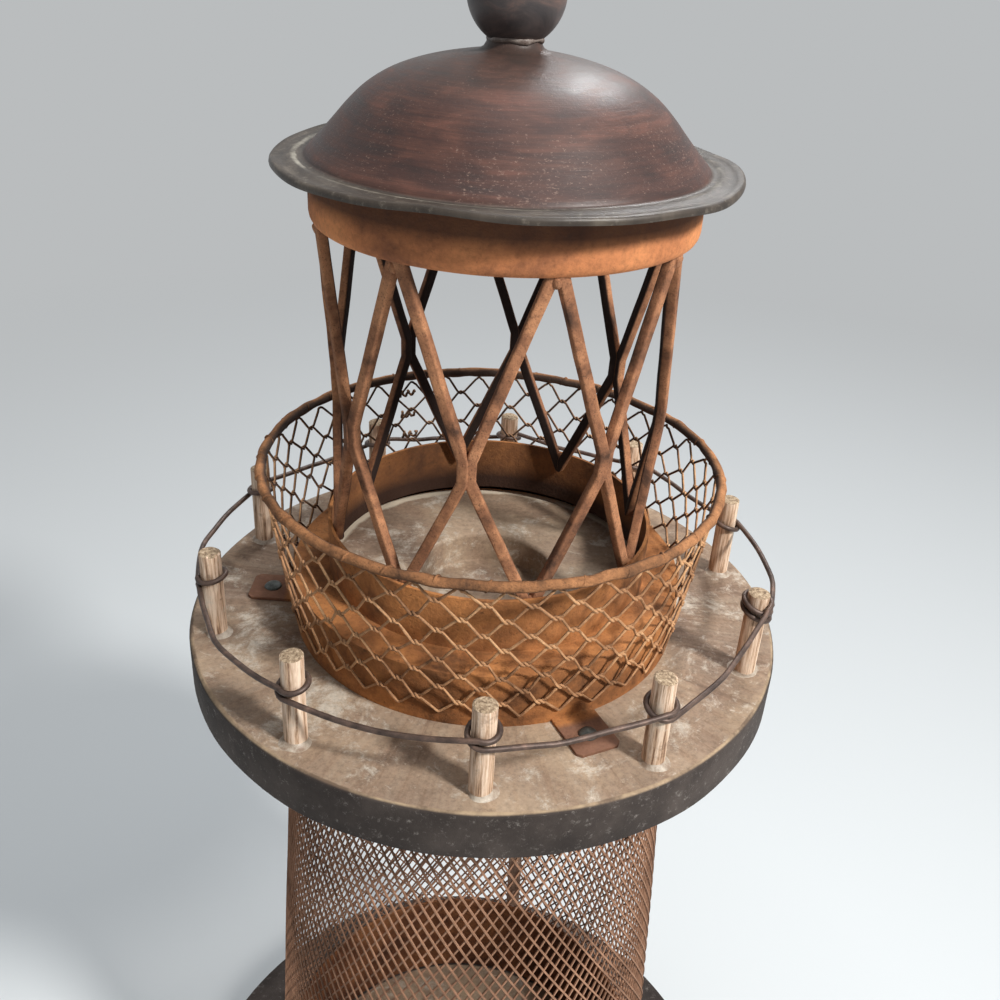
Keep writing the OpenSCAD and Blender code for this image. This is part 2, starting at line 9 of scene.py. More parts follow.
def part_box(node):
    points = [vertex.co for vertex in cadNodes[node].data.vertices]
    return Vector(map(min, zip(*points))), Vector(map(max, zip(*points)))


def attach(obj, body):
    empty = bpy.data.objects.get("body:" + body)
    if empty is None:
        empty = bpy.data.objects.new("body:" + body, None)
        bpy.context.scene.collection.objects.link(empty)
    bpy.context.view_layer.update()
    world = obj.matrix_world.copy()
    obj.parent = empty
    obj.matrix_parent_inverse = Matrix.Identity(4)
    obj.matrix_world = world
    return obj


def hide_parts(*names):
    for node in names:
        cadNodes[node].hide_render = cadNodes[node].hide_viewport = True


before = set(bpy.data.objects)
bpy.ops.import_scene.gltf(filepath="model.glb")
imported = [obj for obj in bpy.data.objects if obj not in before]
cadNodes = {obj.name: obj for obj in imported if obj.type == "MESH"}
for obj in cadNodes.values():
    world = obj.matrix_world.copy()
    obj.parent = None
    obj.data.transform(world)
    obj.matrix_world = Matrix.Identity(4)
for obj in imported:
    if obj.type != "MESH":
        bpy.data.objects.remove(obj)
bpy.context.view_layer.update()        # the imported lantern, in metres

mm = 0.001
noise.seed_set(12)       # otherwise noise_vector starts from the clock

# Sizes that several pieces share, in metres, from the CAD nodes and the plan
plan = {
    "baseTop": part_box("base_disc")[1].z,
    "baseInner": 72.5 * mm,      # the base is pale inside this radius
    "deckUnder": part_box("deck")[0].z,
    "deckTop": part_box("deck")[1].z,
    "deckRadius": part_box("deck")[1].x,
    "discRadius": 52 * mm,
    "towerRadius": 61 * mm,
    "towerFlare": 15.5 * mm,
    "ringRadius": 58.5 * mm,
    "collarRadius": 48 * mm,
    "collarTop": 33.5 * mm,
    "hoopHeight": (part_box("gallery_hoop")[0].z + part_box("gallery_hoop")[1].z) / 2,
    "hoopRadius": 66.4 * mm,
    "hoopWire": 3.2 * mm,
    "bandRadius": 50.5 * mm,
    "bandBottom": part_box("lantern_band")[0].z,
    "bandTop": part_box("lantern_band")[1].z,
    "postRadius": 82 * mm,
    "postAzimuths": [1, 34, 70, 108, 142, 176, 211, 248, 286, 325],
    "apexAzimuth": 15,
    "kinkHeight": 70 * mm,
}


def onCircle(radius, azimuth, height):
    # azimuth in degrees from the front towards +X
    turn = radians(azimuth)
    return Vector((radius * sin(turn), -radius * cos(turn), height))


def towerAt(level):
    # outer radius of the mesh, which widens towards the base
    share = (plan["deckUnder"] - level) / (plan["deckUnder"] - plan["baseTop"])
    return plan["towerRadius"] + plan["towerFlare"] * share


def about(most):
    return random.uniform(-most, most)


def pick(*pieces):
    # only these are selected, and the first is active
    if bpy.context.object and bpy.context.object.mode != "OBJECT":
        bpy.ops.object.mode_set(mode="OBJECT")
    bpy.ops.object.select_all(action="DESELECT")
    for piece in pieces:
        piece.select_set(True)
    if pieces:
        bpy.context.view_layer.objects.active = pieces[0]


def bake(piece):
    pick(piece)
    bpy.ops.object.transform_apply(location=True, rotation=True, scale=True)
    return piece


def start(primitive, stretch=(1, 1, 1), **values):
    pick()
    primitive(**values)
    bpy.context.object.scale = stretch
    return bake(bpy.context.object)


def linkNew(name, data):
    made = bpy.data.objects.new(name, data)
    bpy.context.scene.collection.objects.link(made)
    return made


def applyModifier(piece, kind, **values):
    pick(piece)
    bpy.ops.object.modifier_add(type=kind)
    modifier = piece.modifiers[-1]
    for key, value in values.items():
        setattr(modifier, key, value)
    bpy.ops.object.modifier_apply(modifier=modifier.name)


def editAll(piece):
    pick(piece)
    bpy.ops.object.mode_set(mode="EDIT")
    bpy.ops.mesh.select_all(action="SELECT")


def backToObject():
    bpy.ops.object.mode_set(mode="OBJECT")


def selectParts(piece, kind, test):
    # leaves the piece in edit mode with the faces or edges that pass the test selected
    pick(piece)
    bpy.ops.object.mode_set(mode="EDIT")
    bpy.ops.mesh.select_mode(type=kind)
    mesh = bmesh.from_edit_mesh(piece.data)
    for part in mesh.faces if kind == "FACE" else mesh.edges:
        part.select_set(test(part))
    bmesh.update_edit_mesh(piece.data)


def cutLongEdges(piece, length, cuts):
    selectParts(piece, "EDGE", lambda edge: edge.calc_length() > length)
    bpy.ops.mesh.subdivide(number_cuts=cuts)
    backToObject()


def smooth(piece, angle=40):
    pick(piece)
    bpy.ops.object.shade_smooth_by_angle(angle=radians(angle))


def mergeAndFaceOut(piece, distance=0.01 * mm):
    editAll(piece)
    bpy.ops.mesh.remove_doubles(threshold=distance)
    bpy.ops.mesh.normals_make_consistent(inside=False)
    backToObject()


def weather(piece, amount, size, keepHeight=False):
    # uneven surface: every point moves a little by a smooth noise
    for point in piece.data.vertices:
        push = noise.noise_vector(point.co / size) * amount
        if keepHeight:
            push.z = 0
        point.co += push


def markInwardShade(piece, least=0.0):
    # 1 on the sides that face the middle of the lantern, where the rust gets painted shade
    steepness = 1.3
    sides = piece.data.attributes.new("inside", "FLOAT", "POINT")
    for point, value in zip(piece.data.vertices, sides.data):
        outward = Vector((point.co.x, point.co.y, 0)).normalized()
        value.value = min(1, max(0, least - steepness * point.normal.dot(outward)))


def joinPieces(pieces):
    pick(*pieces)
    bpy.ops.object.join()
    return bake(bpy.context.object)


def dress(piece, *looks):
    piece.data.materials.clear()
    for look in looks:
        piece.data.materials.append(look.material)


def finishPiece(piece, name, look, body, slot, *stands):
    # stands are the CAD nodes that the piece takes the place of
    piece.name = name
    piece.data.name = name
    if look:
        dress(piece, look)
    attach(piece, body)
    if stands:
        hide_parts(*stands)


def cadCopy(nodeName):
    # a node's loose triangles merged, with flat faces made whole again
    piece = linkNew("copy", cadNodes[nodeName].data.copy())
    mergeAndFaceOut(piece)
    editAll(piece)
    bpy.ops.mesh.dissolve_limited(angle_limit=radians(1.5))
    backToObject()
    return piece


def turnedPiece(outline, steps):
    # a circle drawn out ring by ring through (radius, height)
    radius, level = outline[0]
    piece = start(bpy.ops.mesh.primitive_circle_add, vertices=steps, radius=radius,
        location=(0, 0, level))
    bpy.ops.object.mode_set(mode="EDIT")
    bpy.ops.mesh.select_mode(type="EDGE")
    bpy.ops.mesh.select_all(action="SELECT")
    for nextRadius, nextLevel in outline[1:]:
        lift = {"value": (0, 0, nextLevel - level)}
        bpy.ops.mesh.extrude_region_move(TRANSFORM_OT_translate=lift)
        grow = nextRadius / radius
        bpy.ops.transform.resize(value=(grow, grow, 1), center_override=(0, 0, nextLevel))
        radius, level = nextRadius, nextLevel
    backToObject()
    return piece


def wirePiece(paths, thickness, sides=1, closed=True):
    # bent wires, as a bevelled curve turned into a mesh
    curve = bpy.data.curves.new("wire", "CURVE")
    curve.dimensions = "3D"
    curve.bevel_depth = thickness / 2
    curve.bevel_resolution = sides
    curve.use_fill_caps = True
    for path in paths:
        spline = curve.splines.new("POLY")
        spline.points.add(len(path) - 1)
        for point, place in zip(spline.points, path):
            point.co = (*place, 1)
        spline.use_cyclic_u = closed
    pick(linkNew("wire", curve))
    bpy.ops.object.convert(target="MESH")
    piece = bpy.context.object
    smooth(piece, 60)
    return piece


def tone(value):
    # a grey level, or a colour as seen on screen turned linear for the shader
    if isinstance(value, (int, float)):
        return (value, value, value, 1)
    return tuple(((c + 0.055) / 1.055) ** 2.4 if c > 0.04 else c / 12.92 for c in value) + (1,)


class Look:
    # a material's nodes; each step adds some and gives back their output
    def __init__(self, owner):
        owner.use_nodes = True
        self.material = owner
        self.tree = owner.node_tree
        self.shader = self.tree.nodes.get("Principled BSDF") or self.tree.nodes["Background"]

    def add(self, kind, inputs=None, **settings):
        made = self.tree.nodes.new("ShaderNode" + kind)
        for key, value in settings.items():
            setattr(made, key, value)
        for key, value in (inputs or {}).items():
            socket = made.inputs[key]
            if isinstance(value, bpy.types.NodeSocket):
                self.tree.links.new(value, socket)
            else:
                socket.default_value = tone(value) if socket.type == "RGBA" else value
        return made

    def maths(self, operation, first, second):
        return self.add("Math", {0: first, 1: second}, operation=operation).outputs[0]

    def times(self, first, second):
        return self.maths("MULTIPLY", first, second)

    def vector(self, operation, inputs, output=0):
        return self.add("VectorMath", inputs, operation=operation).outputs[output]

    def point(self):
        return self.add("TexCoord").outputs["Object"]

    def place(self, stretch=(1, 1, 1), turn=(0, 0, 0)):
        inputs = {"Vector": self.point(), "Scale": stretch, "Rotation": turn}
        return self.add("Mapping", inputs).outputs["Vector"]

    def height(self):
        return self.add("SeparateXYZ", {0: self.point()}).outputs["Z"]

    def axisDistance(self):
        flat = self.vector("MULTIPLY", {0: self.point(), 1: (1, 1, 0)})
        return self.vector("LENGTH", {0: flat}, "Value")

    def turned(self, around, rise, outward=0.0):
        # for strokes round the Z axis: direction from it, with height and radius as the third value
        parts = self.add("SeparateXYZ", {0: self.point()}).outputs
        flat = self.add("CombineXYZ", {"X": parts["X"], "Y": parts["Y"]}).outputs[0]
        unit = self.vector("NORMALIZE", {0: flat})
        wide = self.vector("SCALE", {0: unit, "Scale": around})
        lift = self.times(parts["Z"], rise)
        spread = self.times(self.vector("LENGTH", {0: flat}, "Value"), outward)
        up = self.add("CombineXYZ", {"Z": self.plus(lift, spread)}).outputs[0]
        return self.vector("ADD", {0: wide, 1: up})

    def cloud(self, place, scale, detail=6, roughness=0.6, distortion=0.0):
        inputs = {"Vector": place, "Scale": scale, "Detail": detail, "Roughness": roughness,
            "Distortion": distortion}
        return self.add("TexNoise", inputs).outputs["Fac"]

    def ramp(self, value, *stops):
        # stops are (position, tone)
        made = self.add("ValToRGB", {"Fac": value})
        elements = made.color_ramp.elements
        while len(elements) < len(stops):
            elements.new(0.5)
        for element, (position, colour) in zip(elements, stops):
            element.position = position
            element.color = tone(colour)
        return made.outputs["Color"]

    def blend(self, share, under, over, mode="MIX"):
        # the Mix node's colour sockets are 6 and 7, and its colour output is 2
        inputs = {0: share, 6: under, 7: over}
        return self.add("Mix", inputs, data_type="RGBA", blend_type=mode).outputs[2]

    def coat(self, base, value, first, last, colour):
        # colour over base, by two stops (position, amount) of value
        return self.blend(self.ramp(value, first, last), base, colour)

    def fade(self, value, reach, level=0, most=None):
        # 0 to 1, or to most, as value goes over the two ends of reach, counted from level
        inputs = {"Value": value, "From Min": level + reach[0], "From Max": level + reach[1]}
        share = self.add("MapRange", inputs).outputs["Result"]
        return self.times(share, most) if most else share

    def plus(self, value, other, amount=None):
        return self.maths("ADD", value, self.times(other, amount) if amount else other)

    def feed(self, socket, output):
        self.tree.links.new(output, self.shader.inputs[socket])

    def colour(self, base):
        self.base = base
        self.feed("Base Color", base)

    def bump(self, height, strength, distance):
        inputs = {"Height": height, "Strength": strength, "Distance": distance}
        self.feed("Normal", self.add("Bump", inputs).outputs["Normal"])

    def seen(self):
        # 1 for the camera, in gloss and through glass
        rays = self.add("LightPath").outputs
        seen = self.maths("MAXIMUM", rays["Is Camera Ray"], rays["Is Glossy Ray"])
        return self.maths("MAXIMUM", seen, rays["Is Transmission Ray"])

    def showInstead(self, share, kind, colour, output):
        # a plain colour takes the place of the lit surface
        plain = self.add(kind, {"Color": colour}).outputs[0]
        both = self.add("MixShader", {0: share, 1: self.shader.outputs[0], 2: plain})
        self.tree.links.new(both.outputs[0], self.tree.nodes[output].inputs["Surface"])


def newLook(name, roughness, metallic=0.0, specular=0.5):
    look = Look(bpy.data.materials.new(name))
    look.shader.inputs["Roughness"].default_value = roughness
    look.shader.inputs["Metallic"].default_value = metallic
    look.shader.inputs["Specular IOR Level"].default_value = specular
    return look


# shared by all the rust finishes; depths in metres
rust = {
    "roughness": 0.88,
    "roughTones": ((0.3, 0.76), (0.7, 0.96)),
    "pitDepth": 0.5 * mm,
    "pitFineness": 2.6,
    "innerShadeFade": (3 * mm, -3 * mm),
    "undersideShadeRagged": 2 * mm,
    "undersideShadeFade": (1.4 * mm, 0.6 * mm),
}


def rustMaterial(name, bright, middle, dark, patch=55, grain=420, speck=0.34, bump=0.5,
        turned=False, innerShade=None, innerShadeBelow=None, under=None):
    look = newLook(name, rust["roughness"], specular=0.25)
    place = look.place()
    broad = look.cloud(place, patch, 8, 0.62, 0.3)
    base = look.ramp(broad, (0.33, dark), (0.47, middle), (0.62, bright))
    if turned:
        strokes = look.cloud(look.turned(0.5, 9), 7, 5, 0.6)
        base = look.coat(base, strokes, (0.45, 0), (0.7, 0.5), middle)
    fine = look.cloud(place, grain, 6, 0.7)
    shade = look.ramp(fine, (0.3, 0.45), (0.52, 1), (0.75, 1.25))
    base = look.blend(0.55, base, shade, "MULTIPLY")
    pits = look.cloud(place, grain * rust["pitFineness"], 3, 0.6)
    base = look.coat(base, pits, (speck - 0.06, 0.7), (speck + 0.06, 0), dark)
    # painted shade: darker rust on the sides that face the middle of the lantern
    if innerShade:
        amount = look.add("Attribute", attribute_name="inside").outputs["Fac"]
        if innerShadeBelow:
            # painted shade, half as much above this height
            deep = look.fade(look.height(), rust["innerShadeFade"], innerShadeBelow, 0.5)
            amount = look.times(amount, look.plus(deep, 0.5))
        base = look.blend(amount, base, innerShade)
    if under:
        # painted shade: the underside is darker, with a ragged edge
        ragged = look.plus(look.height(), broad, rust["undersideShadeRagged"])
        base = look.blend(look.fade(ragged, rust["undersideShadeFade"], under, 0.75), base, dark)
    look.colour(base)
    look.feed("Roughness", look.ramp(fine, *rust["roughTones"]))
    look.bump(look.plus(fine, pits), bump, rust["pitDepth"])
    return look


# painted shade inside the ring, stronger low on its inner wall
sheetRust = rustMaterial(
    "sheetRust", (0.76, 0.515, 0.31), (0.62, 0.41, 0.25), (0.37, 0.25, 0.17),
    turned=True, innerShade=(0.24, 0.165, 0.13), innerShadeBelow=plan["deckTop"] + 23 * mm)
bandRust = rustMaterial(
    "bandRust", (0.87, 0.58, 0.38), (0.77, 0.5, 0.33), (0.54, 0.35, 0.25),
    patch=40, grain=600, speck=0.3, bump=0.3)
# bars, hoop and net get painted shade on their inward-facing sides
barRust = rustMaterial(
    "barRust", (0.77, 0.55, 0.4), (0.6, 0.415, 0.305), (0.34, 0.245, 0.195),
    patch=85, grain=800, speck=0.38, bump=0.4, innerShade=(0.17, 0.125, 0.11))
# painted shade on the hoop's inner side and on its underside
hoopRust = rustMaterial(
    "hoopRust", (0.76, 0.54, 0.37), (0.6, 0.42, 0.285), (0.35, 0.255, 0.195),
    patch=90, grain=800, speck=0.36, bump=0.7, innerShade=(0.24, 0.19, 0.165),
    under=plan["hoopHeight"] - 0.5 * mm)
netRust = rustMaterial(
    "netRust", (0.85, 0.665, 0.49), (0.73, 0.545, 0.395), (0.48, 0.35, 0.25),
    patch=70, grain=900, innerShade=(0.23, 0.195, 0.18))
meshRust = rustMaterial(
    "meshRust", (0.7, 0.535, 0.43), (0.58, 0.435, 0.345), (0.4, 0.295, 0.235),
    patch=28, grain=400, speck=0.3, bump=0.4)
# pale rust for the seam strip and its welds, made paler still as painted light against the shade on
# its inward face
seamRustPaintedLight = rustMaterial(
    "seamRustPaintedLight", (0.88, 0.76, 0.68), (0.78, 0.66, 0.58), (0.6, 0.49, 0.43), patch=60, grain=500)
floorRust = rustMaterial(
    "floorRust", (0.56, 0.37, 0.24), (0.43, 0.27, 0.18), (0.26, 0.165, 0.12), patch=35, grain=380)

tabs = {"fade": (2.5 * mm, 4.5 * mm), "dark": (0.36, 0.25, 0.2), "pale": (0.62, 0.455, 0.365)}
# painted shadow of the brim on the band's upper part
brimShadow = {"fade": (-10 * mm, -6 * mm), "most": 0.85, "colour": (0.24, 0.16, 0.13)}


def paintTabs(look):
    # the nailed tabs outside the ring are browner
    onTab = look.fade(look.axisDistance(), tabs["fade"], plan["ringRadius"])
    mottled = look.cloud(look.place(), 160, 5, 0.7)
    look.colour(look.blend(onTab, look.base, look.blend(mottled, tabs["dark"], tabs["pale"])))


def paintBrimShadow(look):
    # painted shadow of the brim: the band is darker under it
    stain = look.fade(look.height(), brimShadow["fade"], plan["bandTop"], brimShadow["most"])
    look.colour(look.blend(stain, look.base, brimShadow["colour"]))


paintTabs(sheetRust)
paintBrimShadow(bandRust)
print("rust materials done")


def whitewashMaterial(name, radial=True):
    # taupe stain, brushed outwards, with thin white paint left in patches
    look = newLook(name, 0.78, specular=0.3)
    place = look.place()
    brushed = look.turned(9, 3, outward=9) if radial else look.place((14, 40, 14), (0, 0, 0.6))
    stain = look.cloud(place, 26, 6, 0.6, 0.4)
    base = look.ramp(stain, (0.3, (0.43, 0.35, 0.3)), (0.46, (0.56, 0.47, 0.395)),
        (0.62, (0.67, 0.58, 0.485)))
    strokes = look.cloud(brushed, 2.6, 8, 0.68)
    base = look.coat(base, strokes, (0.42, 0), (0.6, 0.35), (0.66, 0.6, 0.53))
    base = look.coat(base, strokes, (0.33, 0.4), (0.44, 0), (0.4, 0.33, 0.285))
    patches = look.cloud(place, 44, 9, 0.8, 0.3)
    base = look.coat(base, patches, (0.53, 0), (0.63, 0.85), (0.8, 0.765, 0.71))
    smears = look.cloud(place, 150, 7, 0.82, 0.6)
    base = look.coat(base, smears, (0.58, 0), (0.68, 0.6), (0.84, 0.81, 0.76))
    dust = look.cloud(place, 700, 4, 0.8)
    shade = look.ramp(dust, (0.34, 0.55), (0.5, 1), (0.68, 1.35))
    look.colour(look.blend(0.5, base, shade, "MULTIPLY"))
    look.bump(look.plus(patches, dust), 0.35, 0.5 * mm)
    return look


def darkStain(look, place):
    # near-black stain with worn pale specks
    stain = look.cloud(place, 30, 7, 0.65)
    base = look.ramp(stain, (0.34, (0.17, 0.145, 0.135)), (0.5, (0.245, 0.215, 0.2)),
        (0.68, (0.33, 0.295, 0.275)))
    worn = look.cloud(place, 430, 7, 0.85)
    return look.coat(base, worn, (0.56, 0), (0.68, 0.65), (0.62, 0.595, 0.57))


board = {
    "ragged": 1.6 * mm,
    "innerFade": (0, 0.6 * mm),
    "arrisFade": (-0.5 * mm, -0.1 * mm),
    "topFade": (-0.6 * mm, -0.25 * mm),
    "arrisTones": ((0.44, 0.37, 0.31), (0.7, 0.61, 0.5)),
}


def boardMaterial(name, sideRadius=None, topHeight=None, innerRadius=None):
    # pale top, light arris of worn paint and painted highlight, dark side; with innerRadius only the
    # top inside it is pale
    look = whitewashMaterial(name)
    place = look.place()
    dark = darkStain(look, place)
    ragged = look.plus(look.axisDistance(), look.cloud(place, 90, 4, 0.6), board["ragged"])
    if innerRadius:
        outer = look.fade(ragged, board["innerFade"], innerRadius)
        look.colour(look.blend(outer, look.base, dark))
        return look
    rubbed = look.fade(look.cloud(place, 70, 5, 0.7), (0.4, 0.6))
    arris = look.blend(rubbed, *board["arrisTones"])
    # the light arris is worn paint and a painted highlight on the edge
    edge = look.fade(ragged, board["arrisFade"], sideRadius)
    top = look.fade(look.height(), board["topFade"], topHeight)
    look.colour(look.blend(top, dark, look.blend(edge, look.base, arris)))
    return look


disc = {"ragged": 5 * mm, "rimFade": (-2.4 * mm, -1.2 * mm), "rim": (0.88, 0.84, 0.76)}


def discMaterial(name, rimRadius):
    # the paint is rubbed to a pale line round the rim, painted brighter as a highlight
    look = whitewashMaterial(name, radial=False)
    wobble = look.cloud(look.place(), 70, 5, 0.65)
    ragged = look.plus(look.axisDistance(), wobble, disc["ragged"])
    rim = look.fade(ragged, disc["rimFade"], rimRadius, 0.85)
    look.colour(look.blend(rim, look.base, disc["rim"]))
    return look


def darkWoodMaterial(name):
    look = newLook(name, 0.8, specular=0.3)
    look.colour(darkStain(look, look.place()))
    look.bump(look.cloud(look.place((1, 1, 0.2)), 300, 5, 0.7), 0.3, 0.4 * mm)
    return look


def dowelMaterial(name):
    # raw split grain up the dowel, limed near its glued foot
    look = newLook(name, 0.82, specular=0.25)
    grain = look.cloud(look.place((1, 1, 0.06)), 900, 6, 0.7, 0.2)
    base = look.ramp(grain, (0.36, (0.5, 0.385, 0.3)), (0.47, (0.8, 0.67, 0.56)),
        (0.6, (0.96, 0.87, 0.78)))
    dirt = look.cloud(look.place(), 160, 6, 0.7)
    base = look.coat(base, dirt, (0.3, 0.6), (0.42, 0), (0.4, 0.31, 0.25))
    base = look.coat(base, dirt, (0.58, 0), (0.72, 0.6), (0.84, 0.8, 0.74))
    look.colour(base)
    look.bump(grain, 0.6, 0.4 * mm)
    return look


def mottledMaterial(name, shine, grain, tones, bump, stretch=(1, 1, 1), turn=(0, 0, 0)):
    # one cloud gives colour and bump; shine is roughness, metal and gloss, bump strength and depth
    look = newLook(name, *shine)
    cloud = look.cloud(look.place(stretch, turn), *grain)
    look.colour(look.ramp(cloud, *tones))
    look.bump(cloud, *bump)
    return look


deckWood = boardMaterial("deckWood", plan["deckRadius"], plan["deckTop"])
baseWood = boardMaterial("baseWood", innerRadius=plan["baseInner"])
discWood = discMaterial("discWood", plan["discRadius"])
plugWood = darkWoodMaterial("plugWood")
dowelWood = dowelMaterial("dowelWood")
dowelEnd = mottledMaterial(
    "dowelEnd", (0.9, 0, 0.2), (1100, 4, 0.75),
    ((0.36, (0.46, 0.39, 0.32)), (0.5, (0.66, 0.575, 0.475)), (0.66, (0.84, 0.76, 0.655))),
    (0.8, 0.5 * mm))
footGlue = mottledMaterial(
    "footGlue", (0.45, 0, 0.5), (260, 6, 0.7),
    ((0.36, (0.56, 0.48, 0.41)), (0.62, (0.78, 0.74, 0.68))), (0.5, 0.6 * mm))
neckGlue = mottledMaterial(
    "neckGlue", (0.45, 0, 0.5), (260, 6, 0.7),
    ((0.36, (0.3, 0.22, 0.19)), (0.62, (0.62, 0.58, 0.55))), (0.5, 0.6 * mm))
ballPaint = mottledMaterial(
    "ballPaint", (0.42, 0, 0.6), (90, 6, 0.65, 1.2),
    ((0.36, (0.23, 0.215, 0.22)), (0.52, (0.31, 0.275, 0.27)), (0.7, (0.44, 0.35, 0.32))),
    (0.25, 0.5 * mm), stretch=(1, 0.5, 1.6), turn=(0.3, 0.5, 0))
ironWire = mottledMaterial(
    "ironWire", (0.48, 0.35, 0.5), (180, 6, 0.7),
    ((0.35, (0.25, 0.2, 0.18)), (0.55, (0.38, 0.31, 0.275)), (0.72, (0.54, 0.43, 0.37))),
    (0.25, 0.3 * mm))
nailSteel = mottledMaterial(
    "nailSteel", (0.5, 0.5, 0.5), (500, 5, 0.7),
    ((0.35, (0.24, 0.25, 0.24)), (0.6, (0.38, 0.4, 0.39)), (0.75, (0.52, 0.53, 0.51))),
    (0.4, 0.3 * mm))

roofCoat = {
    "brimStart": 51.1 * mm,
    "brimFade": (-0.4 * mm, 0.5 * mm),
    "crownFade": (17 * mm, 26 * mm),
    "lineRagged": 2.2 * mm,
    "lineInner": (2.6 * mm, 3.1 * mm),
    "lineOuter": (4.4 * mm, 3.7 * mm),
    "tones": ((0.38, (0.23, 0.178, 0.168)), (0.48, (0.283, 0.197, 0.178)),
        (0.55, (0.33, 0.226, 0.196)), (0.64, (0.415, 0.275, 0.235))),
    "brimTones": ((0.35, (0.205, 0.18, 0.16)), (0.55, (0.28, 0.248, 0.22)),
        (0.72, (0.38, 0.345, 0.305))),
}


def roofMaterial(name):
    # dark brown paint dragged round the dome over a reddish coat; the brim is greyer metal
    look = newLook(name, 0.38, specular=0.36)
    place = look.place()
    wide = look.cloud(look.turned(0.75, 34, outward=-26), 3.2, 4, 0.55, 0.5)
    thin = look.cloud(look.turned(0.6, 190, outward=-150), 3.0, 7, 0.68, 0.25)
    strokes = look.plus(look.times(wide, 0.62), thin, 0.38)
    base = look.ramp(strokes, *roofCoat["tones"])
    broad = look.cloud(place, 13, 3, 0.5)
    base = look.coat(base, broad, (0.4, 0.3), (0.56, 0), (0.24, 0.195, 0.187))
    # greyer towards the neck
    crown = look.fade(look.height(), roofCoat["crownFade"], plan["bandTop"], 0.6)
    base = look.blend(crown, base, (0.27, 0.235, 0.215))
    specks = look.cloud(look.turned(22, 700, outward=-500), 2.2, 5, 0.8)
    chipped = look.plus(specks, look.cloud(place, 30, 3, 0.6), 0.22)
    base = look.coat(base, chipped, (0.7, 0), (0.78, 0.65), (0.6, 0.5, 0.45))
    metal = look.cloud(look.turned(2, 10, outward=110), 3, 6, 0.62)
    brim = look.ramp(metal, *roofCoat["brimTones"])
    fleck = look.cloud(place, 420, 5, 0.75)
    brim = look.coat(brim, fleck, (0.56, 0), (0.7, 0.45), (0.56, 0.53, 0.48))
    # pale line along the fold of the brim: worn paint and a painted glint on its crest
    distance = look.axisDistance()
    edge = roofCoat["brimStart"]
    ragged = look.plus(distance, look.cloud(place, 120, 5, 0.7), roofCoat["lineRagged"])
    inner = look.fade(ragged, roofCoat["lineInner"], edge)
    outer = look.fade(ragged, roofCoat["lineOuter"], edge)
    broken = look.fade(look.cloud(place, 36, 5, 0.7), (0.42, 0.6))
    line = look.times(look.times(inner, outer), broken)
    brim = look.blend(line, brim, (0.62, 0.6, 0.55))
    look.colour(look.blend(look.fade(distance, roofCoat["brimFade"], edge), base, brim))
    look.feed("Roughness", look.plus(look.fade(strokes, (0.1, 2.4)), 0.26))
    look.bump(look.plus(thin, look.cloud(place, 500, 5, 0.7)), 0.16, 0.5 * mm)
    return look


roofPaint = roofMaterial("roofPaint")
print("wood, paint and wire materials done")

mesh = {
    "strandsRound": 106,
    "openingHeight": 6.8 * mm,
    "strandWidth": 0.58 * mm,
    "strandThickness": 0.45 * mm,
    "depths": {-1: 0.1 * mm, 1: 0.45 * mm},     # of the two families, by their direction
    "steps": 40,
    "dents": 0.35 * mm,
    "dentFineness": 16,
}


def makeTowerMesh():
    low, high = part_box("tower_mesh")
    tall = high.z - low.z
    count, thickness = mesh["strandsRound"], mesh["strandThickness"]
    twist = tall / mesh["openingHeight"] * 360 / count
    families = []
    for direction, depth in mesh["depths"].items():
        radius = plan["towerRadius"] - depth
        place = (0, thickness / 2 - radius, low.z + tall / 2)
        strand = start(bpy.ops.mesh.primitive_cube_add, (mesh["strandWidth"], thickness, tall),
            size=1, location=place)
        cutLongEdges(strand, tall / 2, mesh["steps"])
        applyModifier(strand, "SIMPLE_DEFORM", deform_method="TWIST", deform_axis="Z",
            angle=radians(direction * twist))
        pick()
        bpy.ops.object.empty_add(rotation=(0, 0, 2 * pi / count))
        stepRound = bpy.context.object
        applyModifier(strand, "ARRAY", count=count, use_relative_offset=False,
            use_object_offset=True, offset_object=stepRound)
        bpy.data.objects.remove(stepRound)
        families.append(strand)
    piece = joinPieces(families)
    for point in piece.data.vertices:
        dent = (noise.noise(point.co * mesh["dentFineness"]) - 0.5) * mesh["dents"]
        grow = towerAt(point.co.z) / plan["towerRadius"]
        grow += dent / plan["towerRadius"]
        point.co.x *= grow
        point.co.y *= grow
    finishPiece(piece, "towerMesh", meshRust, "tower", "rust", "tower_mesh")


makeTowerMesh()
print("tower mesh done")

seam = {"edge": 0.3 * mm, "azimuth": 163, "dots": 9, "dotRadius": 1.5 * mm, "dotDepth": 3.1 * mm,
    "dotSquash": 0.8, "wander": 1, "lumps": (0.35 * mm, 3 * mm)}


def makeSeam():
    low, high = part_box("mesh_seam")
    strip = cadCopy("mesh_seam")
    applyModifier(strip, "BEVEL", width=seam["edge"], segments=2, limit_method="ANGLE")
    smooth(strip)
    finishPiece(strip, "meshSeam", seamRustPaintedLight, "tower", "dark_rust", "mesh_seam")
    dots = []
    for step in range(seam["dots"]):
        level = low.z + (high.z - low.z) * (step + 0.5) / seam["dots"]
        azimuth = seam["azimuth"] + about(seam["wander"])
        place = onCircle(towerAt(level) - seam["dotDepth"], azimuth, level)
        dots.append(start(bpy.ops.mesh.primitive_uv_sphere_add, (1, 1, seam["dotSquash"]),
            segments=12, ring_count=8, radius=seam["dotRadius"], location=place))
    welds = joinPieces(dots)
    weather(welds, *seam["lumps"])
    smooth(welds, 80)
    finishPiece(welds, "seamWelds", seamRustPaintedLight, "tower", "dark_rust")


random.seed(4)
makeSeam()


